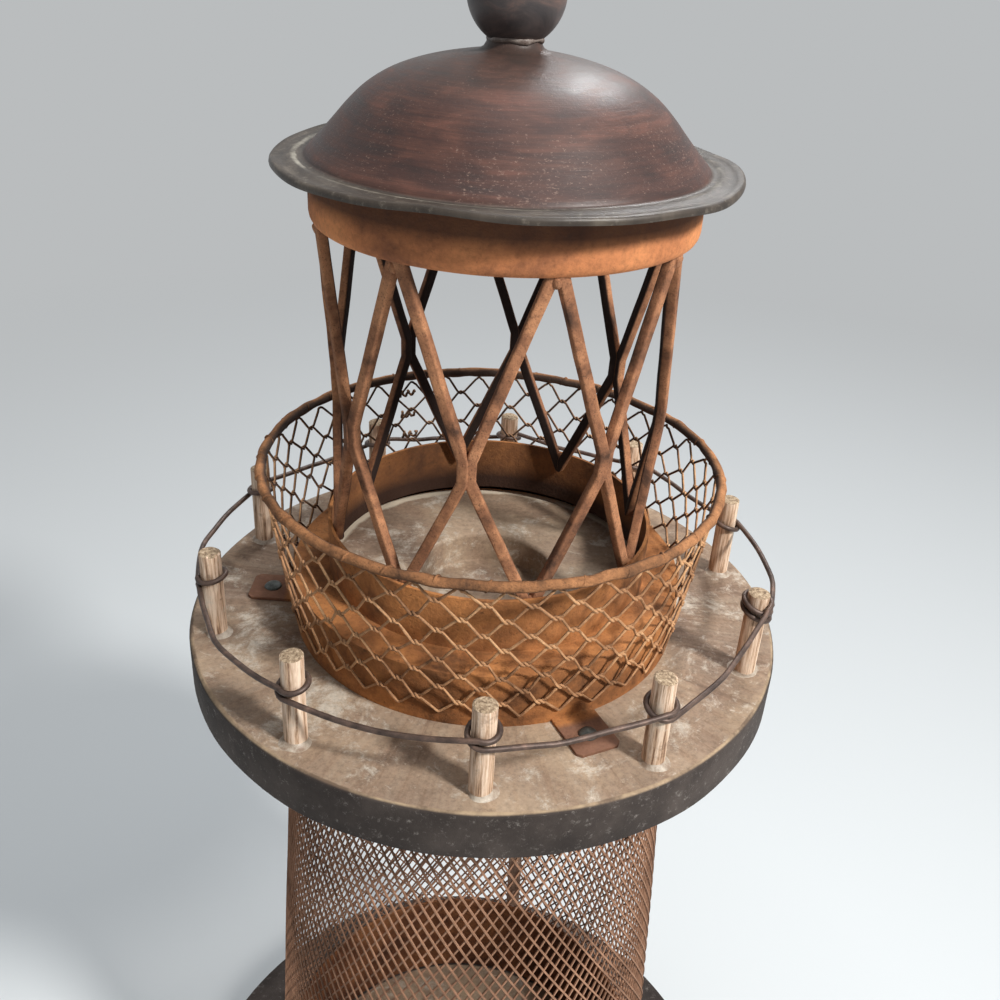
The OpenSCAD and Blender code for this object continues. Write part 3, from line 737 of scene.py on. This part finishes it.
def roundedCopy(nodeName, name, width, look, body, slot, *uneven):
    # a CAD solid with its sharp edges taken off and its surface slightly uneven
    piece = cadCopy(nodeName)
    applyModifier(piece, "BEVEL", width=width, segments=3, limit_method="ANGLE",
        angle_limit=radians(35))
    if uneven:
        weather(piece, *uneven)
    smooth(piece)
    markInwardShade(piece, -0.2)
    finishPiece(piece, name, look, body, slot, nodeName)


roundedCopy("base_disc", "baseBoard", 0.7 * mm, baseWood, "tower", "dark_wood")
roundedCopy("base_collar", "floorBand", 0.25 * mm, floorRust, "tower", "rust")
dress(cadNodes["tower_top_band"], floorRust)
print("tower done")

roundedCopy("deck", "deckBoard", 0.6 * mm, deckWood, "gallery", "deck_wood", 0.35 * mm, 24 * mm)
roundedCopy("candle_disc", "candleDisc", 0.6 * mm, discWood, "gallery", "deck_wood")
dress(cadNodes["deck_plug"], plugWood)

posts = {
    "thickness": 6.2 * mm,
    "height": 28 * mm,
    "sides": 28,
    "cuts": 9,
    "insets": (0.5 * mm, 1.2 * mm),
    "slope": 0.06,           # of the sawn end
    "shorter": 0.9 * mm,     # at most
    "swell": 0.05,
    "fineness": (300, 30),   # of the swell, across and along
    "rimDrop": 0.35 * mm,
    "rimWidth": 0.2 * mm,
}


def makePosts():
    radius, tall, deckTop = posts["thickness"] / 2, posts["height"], plan["deckTop"]
    across, along = posts["fineness"]
    model = start(bpy.ops.mesh.primitive_cylinder_add, vertices=posts["sides"], radius=radius,
        depth=tall, location=(0, 0, deckTop + tall / 2))
    selectParts(model, "FACE", lambda face: face.normal.z > 0.9)
    for thickness in posts["insets"]:
        bpy.ops.mesh.inset(thickness=thickness)
    backToObject()
    cutLongEdges(model, tall * 0.7, posts["cuts"])
    for number, azimuth in enumerate(plan["postAzimuths"], start=1):
        post = linkNew("copy", model.data.copy())
        slope = about(posts["slope"])
        lower = random.uniform(0.0, posts["shorter"])
        post.data.transform(Matrix.Rotation(random.uniform(0, 6.28), 4, "Z"))
        for point in post.data.vertices:
            height = (point.co.z - deckTop) / tall
            x, y, z = point.co
            grain = Vector((x * across + number * 7, y * across, z * along))
            grow = 1 + posts["swell"] * noise.noise(grain)
            point.co.x *= grow
            point.co.y *= grow
            if height > 0.98:
                point.co.z += point.co.x * slope - lower
                if hypot(point.co.x, point.co.y) > radius - posts["rimWidth"]:
                    point.co.z -= posts["rimDrop"]
        post.data.transform(Matrix.Translation(onCircle(plan["postRadius"], azimuth, 0)))
        dress(post, dowelWood, dowelEnd)
        for face in post.data.polygons:
            face.material_index = 1 if face.normal.z > 0.8 else 0
        smooth(post, 35)
        finishPiece(post, "post%02d" % number, None, "gallery", "raw_wood", "rail_post_%02d" % number)
    bpy.data.objects.remove(model)


glue = {"wide": (4.0 * mm, 5.0 * mm), "top": 3.0 * mm, "height": 1.4 * mm, "sunk": 0.1 * mm,
        "ragged": 0.45, "waves": 160, "hollow": 0.35 * mm, "longest": 1.2 * mm}


def makeFootGlue():
    feet = []
    tall = glue["height"]
    under = plan["deckTop"] - glue["sunk"]
    for number, azimuth in enumerate(plan["postAzimuths"]):
        wide = random.uniform(*glue["wide"])
        place = onCircle(plan["postRadius"], azimuth, under + tall / 2)
        foot = start(bpy.ops.mesh.primitive_cone_add, vertices=36, radius1=wide,
            radius2=glue["top"], depth=tall, end_fill_type="NOTHING", location=place)
        cutLongEdges(foot, glue["longest"], 4)
        for point in foot.data.vertices:
            away = Vector((point.co.x - place.x, point.co.y - place.y, 0))
            low = 1 - (point.co.z - under) / tall
            spot = away * glue["waves"]
            wave = noise.noise(Vector((spot.x + number * 3, spot.y, 0)))
            grow = 1 + low * glue["ragged"] * wave
            point.co.x = place.x + away.x * grow
            point.co.y = place.y + away.y * grow
            point.co.z -= glue["hollow"] * sin(pi * low)
        feet.append(foot)
    piece = joinPieces(feet)
    smooth(piece, 80)
    finishPiece(piece, "footGlue", footGlue, "gallery", "raw_wood")


random.seed(7)
makePosts()
makeFootGlue()

rail = {
    "wire": 1.55 * mm,
    "gap": 0.1 * mm,
    "stepsRound": 20,
    "stepsAcross": 14,
    "tilt": 1.1 * mm,
    "kinks": 0.7 * mm,
    # for each post, where the wire meets and leaves it in mm above the deck, and its turns
    "turns": [(20.6, 18.0, 1), (19.6, 17.6, 1), (25.6, 20.6, 2), (20.0, 18.2, 1), (19.8, 17.9, 1),
        (20.1, 18.0, 1), (19.6, 18.0, 1), (20.1, 18.2, 1), (20.6, 18.4, 1), (19.8, 17.3, 1)],
    # how far each span bows out and sags, as shares of its length
    "bows": [0.02, 0.03, 0.1, 0.03, 0.02, 0.03, 0.03, 0.1, 0.08, 0.03],
    "sags": [0.03, 0.05, 0.02, 0.03, 0.03, 0.02, 0.03, 0.03, 0.05, 0.05],
}


def railRoute():
    azimuths = plan["postAzimuths"]
    count = len(azimuths)
    reach = (posts["thickness"] + rail["wire"]) / 2 + rail["gap"]

    def azimuthOf(number):
        return azimuths[number % count] + 360 * (number // count)

    def turnPoint(number, turn, height):
        lean = -rail["tilt"] * cos(radians(turn - azimuthOf(number)))
        level = plan["deckTop"] + height * mm + lean
        return onCircle(plan["postRadius"], azimuthOf(number), level) + onCircle(reach, turn, 0)

    def middleAfter(number):
        return (azimuthOf(number) + azimuthOf(number + 1)) / 2

    route = []
    for number in range(count):
        high, low, turns = rail["turns"][number]
        first = middleAfter(number - 1)
        last = middleAfter(number) + 360 * turns
        steps = rail["stepsRound"] * turns + 2
        for step in range(steps + 1):
            share = step / steps
            turn = first + (last - first) * share
            route.append(turnPoint(number, turn, high + (low - high) * share))
        here = route[-1]
        after = turnPoint(number + 1, middleAfter(number), rail["turns"][(number + 1) % count][0])
        span = (after - here).length
        for step in range(1, rail["stepsAcross"]):
            share = step / rail["stepsAcross"]
            swell = sin(pi * share)
            bow, sag = (span * rail[key][number] * swell for key in ("bows", "sags"))
            kink = noise.noise_vector(Vector((number * 3.1, share * 4, 2))) * rail["kinks"] * swell
            route.append(here.lerp(after, share) + onCircle(bow, middleAfter(number), -sag) + kink)
    return route


wire = wirePiece([railRoute()], rail["wire"], sides=3)
finishPiece(wire, "railWire", ironWire, "gallery", "iron_wire", "rail_wire")
print("deck and rail done")

roundedCopy("gallery_ring", "galleryRing", 0.45 * mm, sheetRust, "gallery", "rust", 0.07 * mm, 16 * mm)

nails = {"azimuths": [26, 147, 269], "radius": 67.1 * mm, "head": 2.7 * mm, "lift": 1.0 * mm,
    "flatness": 0.42, "lumps": (0.22 * mm, 2.2 * mm)}


def makeNails():
    heads = []
    for azimuth in nails["azimuths"]:
        place = onCircle(nails["radius"], azimuth, plan["deckTop"] + nails["lift"])
        head = start(bpy.ops.mesh.primitive_uv_sphere_add, (1, 1, nails["flatness"]), segments=24,
            ring_count=12, radius=nails["head"], location=place)
        selectParts(head, "FACE", lambda face: face.normal.z < -0.35)
        bpy.ops.mesh.delete(type="FACE")
        backToObject()
        weather(head, *nails["lumps"])
        heads.append(head)
    piece = joinPieces(heads)
    smooth(piece, 60)
    finishPiece(piece, "nails", nailSteel, "gallery", "nail_steel", "gallery_nails")


makeNails()

net = {
    "columns": 34,
    "rings": 9,
    "wire": 0.78 * mm,
    "twist": 2.5 * mm,
    "footHeight": 4 * mm,
    "footGap": 0.15 * mm,                # to the ring
    "footBend": (0.5 * mm, 0.25 * mm),   # along and up
    "headGaps": (0.6 * mm, 0.3 * mm),    # inwards and down from the hoop
    "twistSteps": 8,
    "legSteps": 3,
    "unevenness": 0.55 * mm,
}


def makeNet():
    thick, rings = net["wire"], net["rings"]
    inward, down = net["headGaps"]
    foot = Vector((plan["ringRadius"] + thick / 2 + net["footGap"],
        plan["deckTop"] + net["footHeight"]))
    head = Vector((plan["hoopRadius"] - inward,
        plan["hoopHeight"] - plan["hoopWire"] / 2 - down))
    slope = head - foot
    rise = slope.normalized()
    out = Vector((rise.y, -rise.x))
    pitch = 360 / net["columns"]
    shifts = {}

    def placed(share, azimuth, along, up, outward):
        # a point of the net: along the ring, up the slope and outwards, in metres
        centre = foot + slope * share
        spot = centre + rise * up + out * outward
        return onCircle(spot.x, azimuth + degrees(along / centre.x), spot.y)

    def shift(level, azimuth):
        # a twist that two rings share moves once for both
        key = (level, round(azimuth / pitch * 2) % (2 * net["columns"]))
        if key not in shifts:
            shifts[key] = [random.uniform(-1, 1) * net["unevenness"] for way in range(2)]
        return shifts[key]

    def corner(level, azimuth, side):
        # half of a twist, or the small bend at the foot
        along, up = shift(level, azimuth)
        if level == 0:
            wide, high = net["footBend"]
            return [placed(0, azimuth, along + step * wide, up + abs(step) * high, 0)
                for step in (-1, 0, 1)]
        points = []
        for step in range(net["twistSteps"] + 1):
            turn = step / net["twistSteps"]
            angle = 2 * pi * turn
            points.append(placed(
                level / rings, azimuth, along + (turn - 0.5) * net["twist"],
                up + side * cos(angle) * thick * 0.5, side * sin(angle) * thick * 0.5))
        return points

    def leg(first, last):
        parts = net["legSteps"] + 1
        return [first.lerp(last, step / parts) for step in range(1, parts)]

    paths = []
    for ring in range(rings):
        path = []
        for column in range(net["columns"]):
            azimuth = pitch * (column + (ring % 2) / 2)
            low = corner(ring, azimuth, 1)
            high = corner(ring + 1, azimuth + pitch / 2, -1)
            after = corner(ring, azimuth + pitch, 1)[0]
            path += low + leg(low[-1], high[0]) + high + leg(high[-1], after)
        paths.append(path)
    piece = wirePiece(paths, thick)
    markInwardShade(piece)
    finishPiece(piece, "galleryNet", netRust, "gallery", "dark_rust", "gallery_net")


random.seed(11)
makeNet()

hoop = {
    "thinner": 0.15 * mm,
    "lumps": (0.45 * mm, 5 * mm),
    "ties": 34,
    "tieWire": 0.7 * mm,
    "tieWidth": 2.6 * mm,
    "tieTurns": 0.9,
    "tieShares": (0.6, 1.1),     # of those turns
    "tieStart": -1.2,
    "tieWander": 1.2,
    "tieSteps": 16,
    "tieSunk": 0.3 * mm,
    "tieLumps": (0.3 * mm, 3 * mm),
}


def makeHoop():
    radius, thick, level = plan["hoopRadius"], plan["hoopWire"] / 2, plan["hoopHeight"]
    ring = start(bpy.ops.mesh.primitive_torus_add, major_radius=radius, major_segments=220,
        minor_radius=thick - hoop["thinner"], minor_segments=16, location=(0, 0, level))
    weather(ring, *hoop["lumps"])
    smooth(ring, 80)
    markInwardShade(ring)
    finishPiece(ring, "galleryHoop", hoopRust, "gallery", "rust", "gallery_hoop")
    reach = thick - hoop["tieSunk"]
    paths = []
    for number in range(hoop["ties"]):
        azimuth = 360 / hoop["ties"] * number + about(hoop["tieWander"])
        turns = hoop["tieTurns"] * random.uniform(*hoop["tieShares"])
        path = []
        for step in range(hoop["tieSteps"] + 1):
            share = step / hoop["tieSteps"]
            angle = 2 * pi * turns * share + hoop["tieStart"]
            along = degrees((share - 0.5) * hoop["tieWidth"] / radius)
            path.append(onCircle(radius + reach * cos(angle), azimuth + along,
                level + reach * sin(angle)))
        paths.append(path)
    ties = wirePiece(paths, hoop["tieWire"], closed=False)
    weather(ties, *hoop["tieLumps"])
    markInwardShade(ties)
    finishPiece(ties, "netTies", hoopRust, "gallery", "rust")


makeHoop()

netSeam = {"azimuth": -152.5, "knots": 6, "wire": 0.9 * mm, "turns": 2.6, "length": 6 * mm,
    "steps": 25, "thin": 0.75 * mm, "thicker": 0.3 * mm, "firstKnot": 0.6, "clear": 0.8 * mm,
    "flareLess": 1 * mm, "topLess": 3 * mm, "wander": 0.3, "lean": 0.5 * mm}


def makeNetSeam():
    # the cut ends of the netting, wound round each other where it closes
    flare = plan["hoopRadius"] - plan["ringRadius"] - netSeam["flareLess"]
    foot = plan["deckTop"] + net["footHeight"]
    tall = plan["hoopHeight"] - foot - netSeam["topLess"]
    paths = []
    for knot in range(netSeam["knots"]):
        share = (knot + netSeam["firstKnot"]) / netSeam["knots"]
        radius = plan["ringRadius"] + netSeam["clear"] + flare * share
        path = []
        for step in range(netSeam["steps"] + 1):
            turn = step / netSeam["steps"]
            angle = 2 * pi * netSeam["turns"] * turn
            reach = netSeam["thin"] + netSeam["thicker"] * turn
            azimuth = netSeam["azimuth"] + about(netSeam["wander"])
            azimuth += degrees((turn - 0.5) * netSeam["length"] / radius)
            tilt = (turn - 0.5) * about(netSeam["lean"])
            path.append(onCircle(radius + reach * cos(angle), azimuth,
                foot + tall * share + reach * sin(angle) + tilt))
        paths.append(path)
    piece = wirePiece(paths, netSeam["wire"], closed=False)
    markInwardShade(piece)
    finishPiece(piece, "netSeam", netRust, "gallery", "dark_rust")


makeNetSeam()
print("gallery done")

bars = {"count": 16, "edge": 0.85 * mm, "longest": 12 * mm, "cuts": 11, "thinner": 0.25 * mm,
    "lap": 1.09, "over": 0.4 * mm, "uneven": (0.13 * mm, 9 * mm)}


def makeBars():
    for number in range(1, bars["count"] + 1):
        node = "lattice_bar_%02d" % number
        bar = cadCopy(node)
        applyModifier(bar, "BEVEL", width=bars["edge"], segments=3, limit_method="ANGLE",
            angle_limit=radians(30))
        cutLongEdges(bar, bars["longest"], bars["cuts"])
        editAll(bar)
        bpy.ops.transform.shrink_fatten(value=-bars["thinner"])
        backToObject()
        # spread along the ring about its own middle, so that neighbours lap, every second one outside
        points = bar.data.vertices
        centre = sum((point.co for point in points), Vector()) / len(points)
        around = Vector((-centre.y, centre.x, 0)).normalized()
        outward = Vector((centre.x, centre.y, 0)).normalized()
        for point in points:
            point.co += around * (point.co - centre).dot(around) * (bars["lap"] - 1)
            if number % 2:
                point.co += outward * bars["over"]
        weather(bar, *bars["uneven"])
        smooth(bar, 50)
        markInwardShade(bar)
        finishPiece(bar, "bar%02d" % number, barRust, "gallery", "dark_rust", node)


makeBars()

welds = {"radius": 1.1 * mm, "endSize": 1.2, "kinkSize": 0.8, "kinkLifts": (-3.2, -1.1, 1.0, 3.0),
    "headDrop": 1.2 * mm, "footDrop": 1.5 * mm, "barInset": 3 * mm, "outward": 0.8 * mm,
    "pairs": 8, "wander": 0.8, "sizes": (0.85, 1.15), "tall": (1, 1.4), "lumps": (0.8 * mm, 3 * mm)}


def makeWelds():
    # lumps of weld where two bars meet, at the collar, at the bends and under the band
    footRadius = plan["collarRadius"] - welds["barInset"]
    headRadius = plan["bandRadius"] - welds["barInset"]
    headHeight = plan["bandBottom"]
    footHeight = plan["deckTop"] + plan["collarTop"]
    middle = plan["deckTop"] + plan["kinkHeight"]

    def barRadius(level):
        share = (level - footHeight) / (headHeight - footHeight)
        return footRadius + (headRadius - footRadius) * share

    spots = []
    pitch = 360 / welds["pairs"]
    for pair in range(welds["pairs"]):
        azimuth = plan["apexAzimuth"] + pitch * pair
        spots.append((azimuth, headHeight - welds["headDrop"], welds["endSize"]))
        spots.append((azimuth, footHeight - welds["footDrop"], welds["endSize"]))
        for lift in welds["kinkLifts"]:
            spots.append((azimuth + pitch / 2, middle + lift * mm, welds["kinkSize"]))
    lumps = []
    for azimuth, level, size in spots:
        azimuth += about(welds["wander"])
        radius = welds["radius"] * size * random.uniform(*welds["sizes"])
        place = onCircle(barRadius(level) + welds["outward"], azimuth, level)
        lump = start(bpy.ops.mesh.primitive_ico_sphere_add, (1, 1, random.uniform(*welds["tall"])),
            subdivisions=3, radius=radius, location=place)
        weather(lump, *welds["lumps"])
        lumps.append(lump)
    piece = joinPieces(lumps)
    smooth(piece, 80)
    markInwardShade(piece)
    finishPiece(piece, "barWelds", barRust, "gallery", "dark_rust")


random.seed(3)
makeWelds()

band = {
    "wall": 1 * mm,
    "curl": 1.5 * mm,
    "curlHeight": 2.6 * mm,
    "curlShares": ((1, 0), (0.46, 0.24), (0.12, 0.6), (0, 1)),      # inwards and up
    "uneven": (0.3 * mm, 22 * mm),
    "steps": 192,
    "rows": 6,
}


def makeBand():
    radius, low, high = plan["bandRadius"], plan["bandBottom"], plan["bandTop"]
    drop = band["curlHeight"]
    outline = [(radius - inward * band["curl"], low + up * drop) for inward, up in band["curlShares"]]
    for row in range(1, band["rows"] + 1):
        outline.append((radius, low + drop + (high - low - drop) * row / band["rows"]))
    ring = turnedPiece(outline, band["steps"])
    weather(ring, *band["uneven"], keepHeight=True)
    mergeAndFaceOut(ring)
    applyModifier(ring, "SOLIDIFY", thickness=band["wall"], offset=-1)
    smooth(ring, 50)
    finishPiece(ring, "lanternBand", bandRust, "gallery", "rust", "lantern_band")


makeBand()
print("lantern room done")

roof = {
    "foot": 51 * mm,
    "height": 25 * mm,
    "brim": 59.5 * mm,
    "sheet": 1 * mm,
    "neckRadius": 6.5 * mm,
    "neckRise": 2.6 * mm,
    "steps": 192,
    "wave": 0.45 * mm,
    "waves": ((3, 0.6, 1), (7, 2, 0.6), (13, 0, 0.3)),     # times round, start and share
    "waveFrom": 1 * mm,
    "dents": 0.25 * mm,
    "dentSize": 26 * mm,
    # outline in mm out and up: rim from the brim, its top edge, fold from the dome's foot, neck
    "rim": [(-0.1, -0.75), (0, -0.2), (-0.15, 0.55)],
    "brimTop": [(-0.7, -0.05), (-2.2, -0.3)],
    "fold": [(4.8, -0.25), (3.4, 0.1), (2.2, -0.1), (0.9, -0.3)],
    "neck": [(2.0, 0.1), (0.9, 0.7), (0.25, 1.7), (0, 2.5), (-0.7, 2.6)],
    # the dome as shares of its foot and height
    "shares": [(1, 0), (0.985, 0.045), (0.93, 0.16), (0.86, 0.32), (0.79, 0.48), (0.71, 0.63),
        (0.61, 0.76), (0.5, 0.855), (0.38, 0.925), (0.25, 0.975), (0.16, 1)],
}


def roofProfile():
    level = plan["bandTop"]
    top = level + roof["sheet"]
    crown = top + roof["height"]

    def steps(radius, height, key):
        return [(radius + out * mm, height + up * mm) for out, up in roof[key]]

    outline = steps(roof["brim"], level, "rim") + steps(roof["brim"], top, "brimTop")
    outline += steps(roof["foot"], top, "fold")
    # smooth curve through the dome's own shares
    knots = roof["shares"]
    for index in range(len(knots) - 1):
        before, here = knots[max(index - 1, 0)], knots[index]
        after, later = knots[index + 1], knots[min(index + 2, len(knots) - 1)]
        for step in range(4):
            t = step / 4
            spot = [
                (2 * b + (c - a) * t + (2 * a - 5 * b + 4 * c - d) * t * t
                + (3 * b - a - 3 * c + d) * t ** 3) / 2
                for a, b, c, d in zip(before, here, after, later)
            ]
            outline.append((spot[0] * roof["foot"], top + spot[1] * roof["height"]))
    return outline + steps(roof["neckRadius"], crown, "neck")


def makeRoof():
    dome = turnedPiece(roofProfile(), roof["steps"])
    mergeAndFaceOut(dome, 0.005 * mm)
    foot = roof["foot"]
    for point in dome.data.vertices:
        reach = hypot(point.co.x, point.co.y)
        turn = atan2(point.co.y, point.co.x)
        if reach > foot + roof["waveFrom"]:
            # the brim waves more towards its edge
            grow = ((reach - foot) / (roof["brim"] - foot)) ** 2
            wave = sum(part * sin(times * turn + begin) for times, begin, part in roof["waves"])
            point.co.z += grow * roof["wave"] * wave
        else:
            point.co += noise.noise_vector(point.co / roof["dentSize"]) * roof["dents"]
    applyModifier(dome, "SOLIDIFY", thickness=roof["sheet"] * 0.9, offset=-1)
    smooth(dome, 50)
    finishPiece(dome, "roofDome", roofPaint, "roof", "roof_paint", "roof_dome")


makeRoof()
dress(cadNodes["roof_skirt"], bandRust)
dress(cadNodes["finial_screw"], nailSteel)

finial = {"dents": 0.012, "dentFineness": 90, "flatFrom": 1.9, "flatInset": 0.3 * mm,
    "glue": 0.8 * mm, "glueIn": 0.2 * mm, "glueUp": 0.1 * mm, "glueLumps": (0.7 * mm, 4 * mm)}


def makeFinial():
    low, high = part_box("finial_ball")
    radius = (high.x - low.x) / 2
    centre = Vector((0, 0, high.z - radius))
    ball = start(bpy.ops.mesh.primitive_uv_sphere_add, segments=64, ring_count=40, radius=radius,
        location=centre)
    # flat where it stands on the neck
    flat = high.z - radius * finial["flatFrom"]
    selectParts(ball, "FACE", lambda face: face.calc_center_median().z < flat)
    bpy.ops.mesh.inset(thickness=finial["flatInset"])
    backToObject()
    for point in ball.data.vertices:
        away = point.co - centre
        dent = finial["dents"] * abs(noise.noise(away * finial["dentFineness"]))
        point.co = centre + away * (1 - dent)
    smooth(ball, 60)
    finishPiece(ball, "finialBall", ballPaint, "roof", "ball_paint", "finial_ball")

    neckTop = plan["bandTop"] + roof["sheet"] + roof["height"] + roof["neckRise"]
    radius = roof["neckRadius"] - finial["glueIn"]
    bead = start(bpy.ops.mesh.primitive_torus_add, major_radius=radius, major_segments=72,
        minor_radius=finial["glue"], minor_segments=12, location=(0, 0, neckTop + finial["glueUp"]))
    weather(bead, *finial["glueLumps"])
    smooth(bead, 80)
    finishPiece(bead, "neckGlue", neckGlue, "roof", "roof_paint")


makeFinial()
print("roof done")

stage = {
    "floorSize": 60,
    "floor": (0.84, 0.86, 0.87),
    "backdrop": (0.73, 0.74, 0.745),
    "fade": (0.25, 1.3),
    "sky": (0.91, 0.93, 0.96, 1),
    "skyStrength": 0.24,
    "lampTarget": (0, 0, 0.3),
}


def makeStage():
    floor = start(bpy.ops.mesh.primitive_plane_add, size=stage["floorSize"], location=(0, 0, 0))
    floor.name = "floor"
    look = newLook("paleFloor", 0.9, specular=0.2)
    look.shader.inputs["Base Color"].default_value = tone(stage["floor"])
    # far from the lantern the floor is plain pale for the camera and in gloss
    far = look.times(look.seen(), look.fade(look.axisDistance(), stage["fade"]))
    look.showInstead(far, "Emission", stage["backdrop"], "Material Output")
    dress(floor, look)

    world = bpy.data.worlds.new("studio")
    bpy.context.scene.world = world
    sky = Look(world)
    sky.shader.inputs["Color"].default_value = stage["sky"]
    sky.shader.inputs["Strength"].default_value = stage["skyStrength"]
    sky.showInstead(sky.seen(), "Background", stage["backdrop"], "World Output")


# azimuth, elevation, distance, size, power and colour
lamps = {
    "keySoftbox": (50, 42, 1.5, 0.2, 25, (1.0, 0.97, 0.93)),
    "roofWindow": (159, 43, 1.5, 0.3, 8, (0.98, 0.99, 1.0)),
    "overhead": (100, 80, 1.6, 1.4, 9, (0.98, 0.99, 1.0)),
}


def addLamp(name, azimuth, elevation, distance, size, power, colour):
    data = bpy.data.lights.new(name, "AREA")
    data.shape = "DISK"
    data.size = size
    data.energy = power
    data.color = colour
    lamp = linkNew(name, data)
    lift = radians(elevation)
    target = Vector(stage["lampTarget"])
    place = target + onCircle(distance * cos(lift), azimuth, distance * sin(lift))
    lamp.location = place
    lamp.rotation_euler = (place - target).to_track_quat("Z", "Y").to_euler()


makeStage()
for lampName, settings in lamps.items():
    addLamp(lampName, *settings)

# the photograph's camera, solved from the circles of the deck, hoop, collar and band:
# place in mm from the middle of the deck's top, turns in radians, focal length in pixels
view = {"place": (0, -274.27, 190.34), "yaw": 0.0108, "pitch": 0.5095, "roll": 0.0585,
    "focal": 1050, "pixels": 1000, "sensor": 36, "nearest": 0.01}


def makeCamera():
    data = bpy.data.cameras.new("camera")
    data.sensor_width = view["sensor"]
    data.lens = view["focal"] * view["sensor"] / view["pixels"]
    data.clip_start = view["nearest"]
    camera = linkNew("camera", data)
    yaw, pitch, roll = view["yaw"], view["pitch"], view["roll"]
    forward = Vector((sin(yaw) * cos(pitch), cos(yaw) * cos(pitch), -sin(pitch)))
    right = Vector((cos(yaw), -sin(yaw), 0))
    up = right.cross(forward)
    rolledRight = right * cos(roll) + up * sin(roll)
    rolledUp = -right * sin(roll) + up * cos(roll)
    place = Vector(view["place"]) * mm + Vector((0, 0, plan["deckTop"]))
    turned = Matrix((rolledRight, rolledUp, -forward)).transposed().to_4x4()
    camera.matrix_world = Matrix.Translation(place) @ turned
    bpy.context.scene.camera = camera


makeCamera()
bpy.context.scene.view_settings.view_transform = "Standard"
print("stage, light and camera done")
